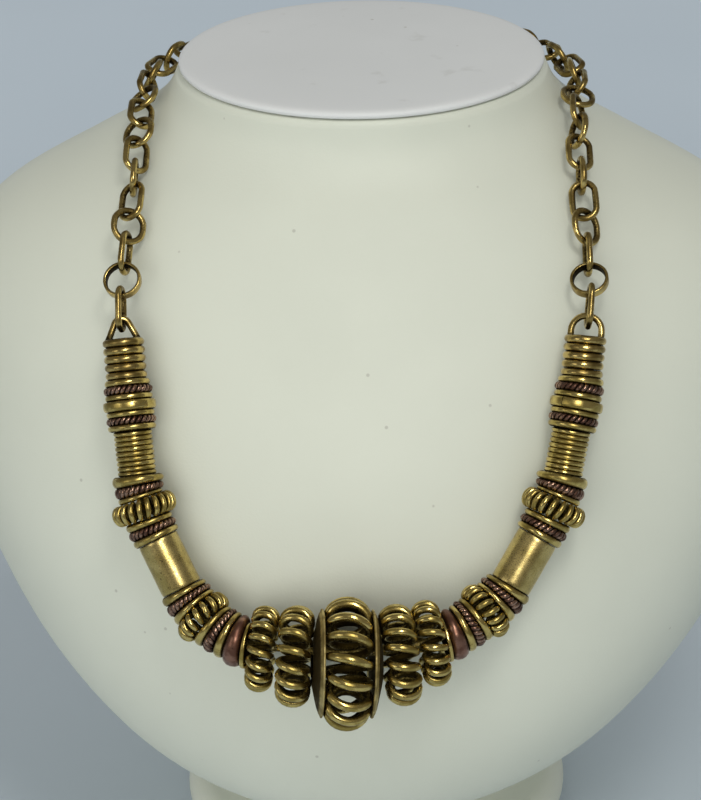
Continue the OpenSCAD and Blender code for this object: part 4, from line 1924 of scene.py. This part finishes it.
@dataclass(frozen=True)
class BeadString:
    """All that is threaded on one side of the core wire."""

    side: Side

    def fit(
        self, finishes: Finishes, piece: bpy.types.Object, slot: str, node: str,
        place: Optional[Matrix] = None,
    ) -> None:
        """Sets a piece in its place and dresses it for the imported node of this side.

        Args:
            finishes: the materials.
            piece: finished mesh object.
            slot: material slot of the record.
            node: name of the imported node, without its side.
            place: where the piece goes, left out when it is there already.
        """
        put(piece, place)
        finishes.dress(piece, slot, f"{node}_{self.side.word}")

    def build_open_beads(self, finishes: Finishes, line: StringLine, seed: float) -> None:
        """Builds the cup against the centre bead and the two open coil beads beside it.

        Args:
            finishes: the materials.
            line: the string of this side.
            seed: shifts the unevenness.
        """
        word = self.side.word
        cup = CupWasher().build(f"dished_cup_{word}")
        out = lean_of(CENTRE_LEAN) * self.side.value
        place = aim(CENTRE + CENTRE_HANG + out * CUP_AT, out)
        self.fit(finishes, cup, "dark_bronze", "cup_washer", place)
        for number, (name, bead, hang, leans) in enumerate((
            ("inner", INNER_BEAD, INNER_HANG, INNER_LEAN),
            ("outer", OUTER_BEAD, OUTER_HANG, OUTER_LEAN),
        )):
            coil = bead.build(f"open_coil_{name}_{word}", seed + number)
            node = f"{name}_coil_bead"
            place = aim(line.spot(node) + hang, lean_of(leans[self.side]))
            self.fit(finishes, coil, "aged_brass", node, place)

    def build_firm_pieces(self, finishes: Finishes, line: StringLine, seed: float) -> None:
        """Builds the ribbed beads, the tubes, the thick band and the end coil.

        Args:
            finishes: the materials.
            line: the string of this side.
            seed: shifts the unevenness.
        """
        word = self.side.word
        for name, bead in RIBBED_BEADS.items():
            piece = bead.build(f"close_{name}_{word}", seed)
            self.fit(finishes, piece, "aged_brass", name, line.place(name))
        tube = PlainTube().build(f"satin_tube_{word}")
        self.fit(finishes, tube, "satin_brass", "plain_tube", line.place("plain_tube"))
        lower = LOWER_COIL.build(f"wound_tube_{word}")
        self.fit(finishes, lower, "aged_brass", "lower_coil_tube", line.place("lower_coil_tube"))
        band = BandRing().build(f"cut_band_{word}", BAND_CUT_AT[self.side])
        self.fit(finishes, band, "aged_brass", "band_ring", line.place("band_ring"))
        upper = UpperCoil().build(f"end_coil_{word}", END_LOOPS[self.side])
        put(upper, line.place("upper_coil_tube"))
        finishes.cover(upper, finishes.brown_brass, "aged_brass", f"upper_coil_tube_{word}")

    def build_cluster(
        self, finishes: Finishes, cluster: str, spots: dict[str, RingPlace], seed: float
    ) -> None:
        """Builds two brass rings with a copper rope ring between them.

        Args:
            finishes: the materials.
            cluster: letter of the cluster.
            spots: place of every ring by its name.
            seed: shifts the unevenness.
        """
        word = self.side.word
        rings = []
        for name in (f"{cluster}_inner", f"{cluster}_outer"):
            spot = spots[name]
            ring = PlainRing(SPACER_RADII[name], spot.thickness).build(name, seed + spot.thickness)
            spot.wedge(ring)
            rings.append(ring)
        pair = join(rings, f"brass_pair_{cluster}_{word}")
        self.fit(finishes, pair, "aged_brass", f"spacer_rings_{cluster}")

        spot = spots[f"{cluster}_rope"]
        twist = RopeRing(ROPE_RADII[cluster] + ROPE_OUT, spot.thickness * ROPE_SWELL)
        rope = twist.build(f"twisted_rope_{cluster}_{word}", seed)
        spot.wedge(rope)
        self.fit(finishes, rope, "rope_copper", f"rope_ring_{cluster}")

    def build(self, finishes: Finishes) -> None:
        """Builds and dresses every piece of the side, from the centre outwards.

        Args:
            finishes: the materials.
        """
        line = StringLine(self.side)
        word = self.side.word
        seed = SIDE_SEED * self.side.value
        self.build_open_beads(finishes, line, seed)
        spots = {}
        for cluster in CLUSTERS:
            spots.update(line.fanned(cluster))

        spot = spots["thin_washer"]
        washer = ThinWasher(thickness=spot.thickness).build(f"flat_washer_{word}")
        spot.wedge(washer)
        self.fit(finishes, washer, "aged_brass", "thin_washer")

        spot = spots["copper_ring"]
        copper = PlainRing(COPPER_RING_RADIUS, spot.thickness).build(f"red_ring_{word}", seed)
        spot.wedge(copper)
        self.fit(finishes, copper, "red_copper", "copper_ring")

        self.build_firm_pieces(finishes, line, seed)
        for number, letter in enumerate(ROPE_RADII):
            self.build_cluster(finishes, letter, spots, seed + CLUSTER_SEED * number)


@dataclass(frozen=True)
class SoftLight:
    """A soft square light aimed at the necklace, with its sizes in metres and power in watts."""

    name: str
    at: Triple
    size: float
    power: float
    tint: Colour = (1.0, 0.99, 0.94)
    mirrored: bool = True
    lights_matt: bool = True

    def hang(self, target: Vector) -> None:
        """Hangs the light.

        Args:
            target: place that it is aimed at, in metres.
        """
        data = bpy.data.lights.new(self.name, "AREA")
        data.shape = "SQUARE"
        data.size = self.size
        data.energy = self.power
        data.color = self.tint
        light = bpy.data.objects.new(self.name, data)
        bpy.context.scene.collection.objects.link(light)
        light.location = self.at
        light.rotation_euler = (target - Vector(self.at)).to_track_quat("-Z", "Y").to_euler()
        light.visible_glossy = self.mirrored
        light.visible_diffuse = self.lights_matt


# The main light, a broad fill, and two lights that only glossy metal shows
LIGHTS = (
    SoftLight("top_softbox", (0.30, -0.70, 1.40), 0.36, 4.2),
    SoftLight("front_fill", (-0.3, -1.3, 0.3), 1.2, 7.8, tint=(1.0, 1.0, 0.95), mirrored=False),
    SoftLight("camera_window", (0.24, -1.10, 0.98), 0.34, 4.6, lights_matt=False),
    SoftLight("side_panel", (-0.85, -0.85, 0.6), 0.5, 1.2, lights_matt=False),
)


@dataclass(frozen=True)
class Studio:
    """Pale floor, soft lights, and the camera where the photograph was taken from.

    Angles are in degrees, the camera's distance, aim and lens in millimetres, and the floor and
    the lights' target in metres. Metal mirrors a dimmer room than the one that lights the rest.
    """

    elevation: float = 27.0
    azimuth: float = 4.5
    roll: float = 1.4
    distance: float = 760.0
    aim_at: Triple = (-1.0, -62.0, 186.0)
    lens: float = 114.0
    floor_size: float = 6.0
    floor_bend: float = 0.4
    lights_at: Triple = (0.0, -0.06, 0.19)
    room: tuple[Colour, float] = ((0.97, 0.98, 0.96), 0.45)
    mirrored_room: tuple[Colour, float] = ((1.0, 0.98, 0.92), 0.17)

    def build_camera(self) -> None:
        """Stands the camera on the photograph's line of sight."""
        rise = math.radians(self.elevation)
        side = math.radians(self.azimuth)
        back = Vector((
            math.sin(side) * math.cos(rise), -math.cos(side) * math.cos(rise), math.sin(rise)
        ))
        right = Vector((math.cos(side), math.sin(side), 0.0))
        up = back.cross(right)
        roll = math.radians(self.roll)
        turned_right = right * math.cos(roll) - up * math.sin(roll)
        turned_up = up * math.cos(roll) + right * math.sin(roll)
        data = bpy.data.cameras.new("studio_camera")
        data.lens = self.lens
        data.sensor_width = 36.0
        data.clip_start = 0.01
        data.clip_end = 20.0
        camera = bpy.data.objects.new("studio_camera", data)
        bpy.context.scene.collection.objects.link(camera)
        frame = Matrix((turned_right, turned_up, back)).transposed().to_4x4()
        at = (Vector(self.aim_at) + back * self.distance) * METRES
        camera.matrix_world = Matrix.Translation(at) @ frame
        bpy.context.scene.camera = camera

    def build_floor(self) -> None:
        """Lays the paper floor and its rise behind the bust."""
        clear_selection()
        bpy.ops.mesh.primitive_plane_add(size=self.floor_size, location=ORIGIN)
        floor = named("paper_floor")
        edit(floor)
        pick(floor, lambda at: at.y > 1.0)
        bpy.ops.mesh.extrude_region_move(TRANSFORM_OT_translate={"value": (0, 0.6, 0.35)})
        bpy.ops.mesh.extrude_region_move(TRANSFORM_OT_translate={"value": (0, 0.25, 1.6)})
        close_edit()
        finish_with(floor, "BEVEL", width=self.floor_bend, segments=8, limit_method="ANGLE")
        bpy.ops.object.shade_smooth()
        floor.data.materials.append(Paper().make())

    def build_room(self) -> None:
        """Lights the room all round, dimmer where only glossy rays see it."""
        world = bpy.data.worlds.new("bright_room")
        bpy.context.scene.world = world
        world.use_nodes = True
        tree = world.node_tree
        room = tree.nodes["Background"]
        mirrored = tree.nodes.new("ShaderNodeBackground")
        for node, (colour, strength) in ((room, self.room), (mirrored, self.mirrored_room)):
            node.inputs["Color"].default_value = (*colour, 1.0)
            node.inputs["Strength"].default_value = strength
        rays = tree.nodes.new("ShaderNodeLightPath")
        blend = tree.nodes.new("ShaderNodeMixShader")
        tree.links.new(rays.outputs["Is Glossy Ray"], blend.inputs[0])
        tree.links.new(room.outputs[0], blend.inputs[1])
        tree.links.new(mirrored.outputs[0], blend.inputs[2])
        tree.links.new(blend.outputs[0], tree.nodes["World Output"].inputs["Surface"])

    def build(self) -> None:
        """Builds the whole studio."""
        self.build_camera()
        self.build_floor()
        for light in LIGHTS:
            light.hang(Vector(self.lights_at))
        self.build_room()
        bpy.context.scene.view_settings.view_transform = "Standard"


def main() -> None:
    """Builds the bust, the necklace and the studio in order."""
    logging.basicConfig(level=logging.INFO, format="%(name)s: %(message)s")
    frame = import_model()
    Studio().build()
    finishes = Finishes()
    NeckBust().build(finishes)

    centre = CENTRE_BEAD.build("open_coil_centre", CENTRE_SEED)
    put(centre, aim(CENTRE + CENTRE_HANG, lean_of(CENTRE_LEAN)))
    finishes.dress(centre, "aged_brass", "centre_coil_bead")

    for side in Side:
        BeadString(side).build(finishes)
        Chain(side).build(finishes)
    Clasp().build(finishes)

    core = frame["nodes"]["core_wire"]
    # Painted shade on the core wire, which lies in shade inside the beads
    mark(core, lambda at: CORE_SHADE)
    for spot in core.material_slots:
        spot.material = finishes.made["aged_brass"]


if __name__ == "__main__":
    main()
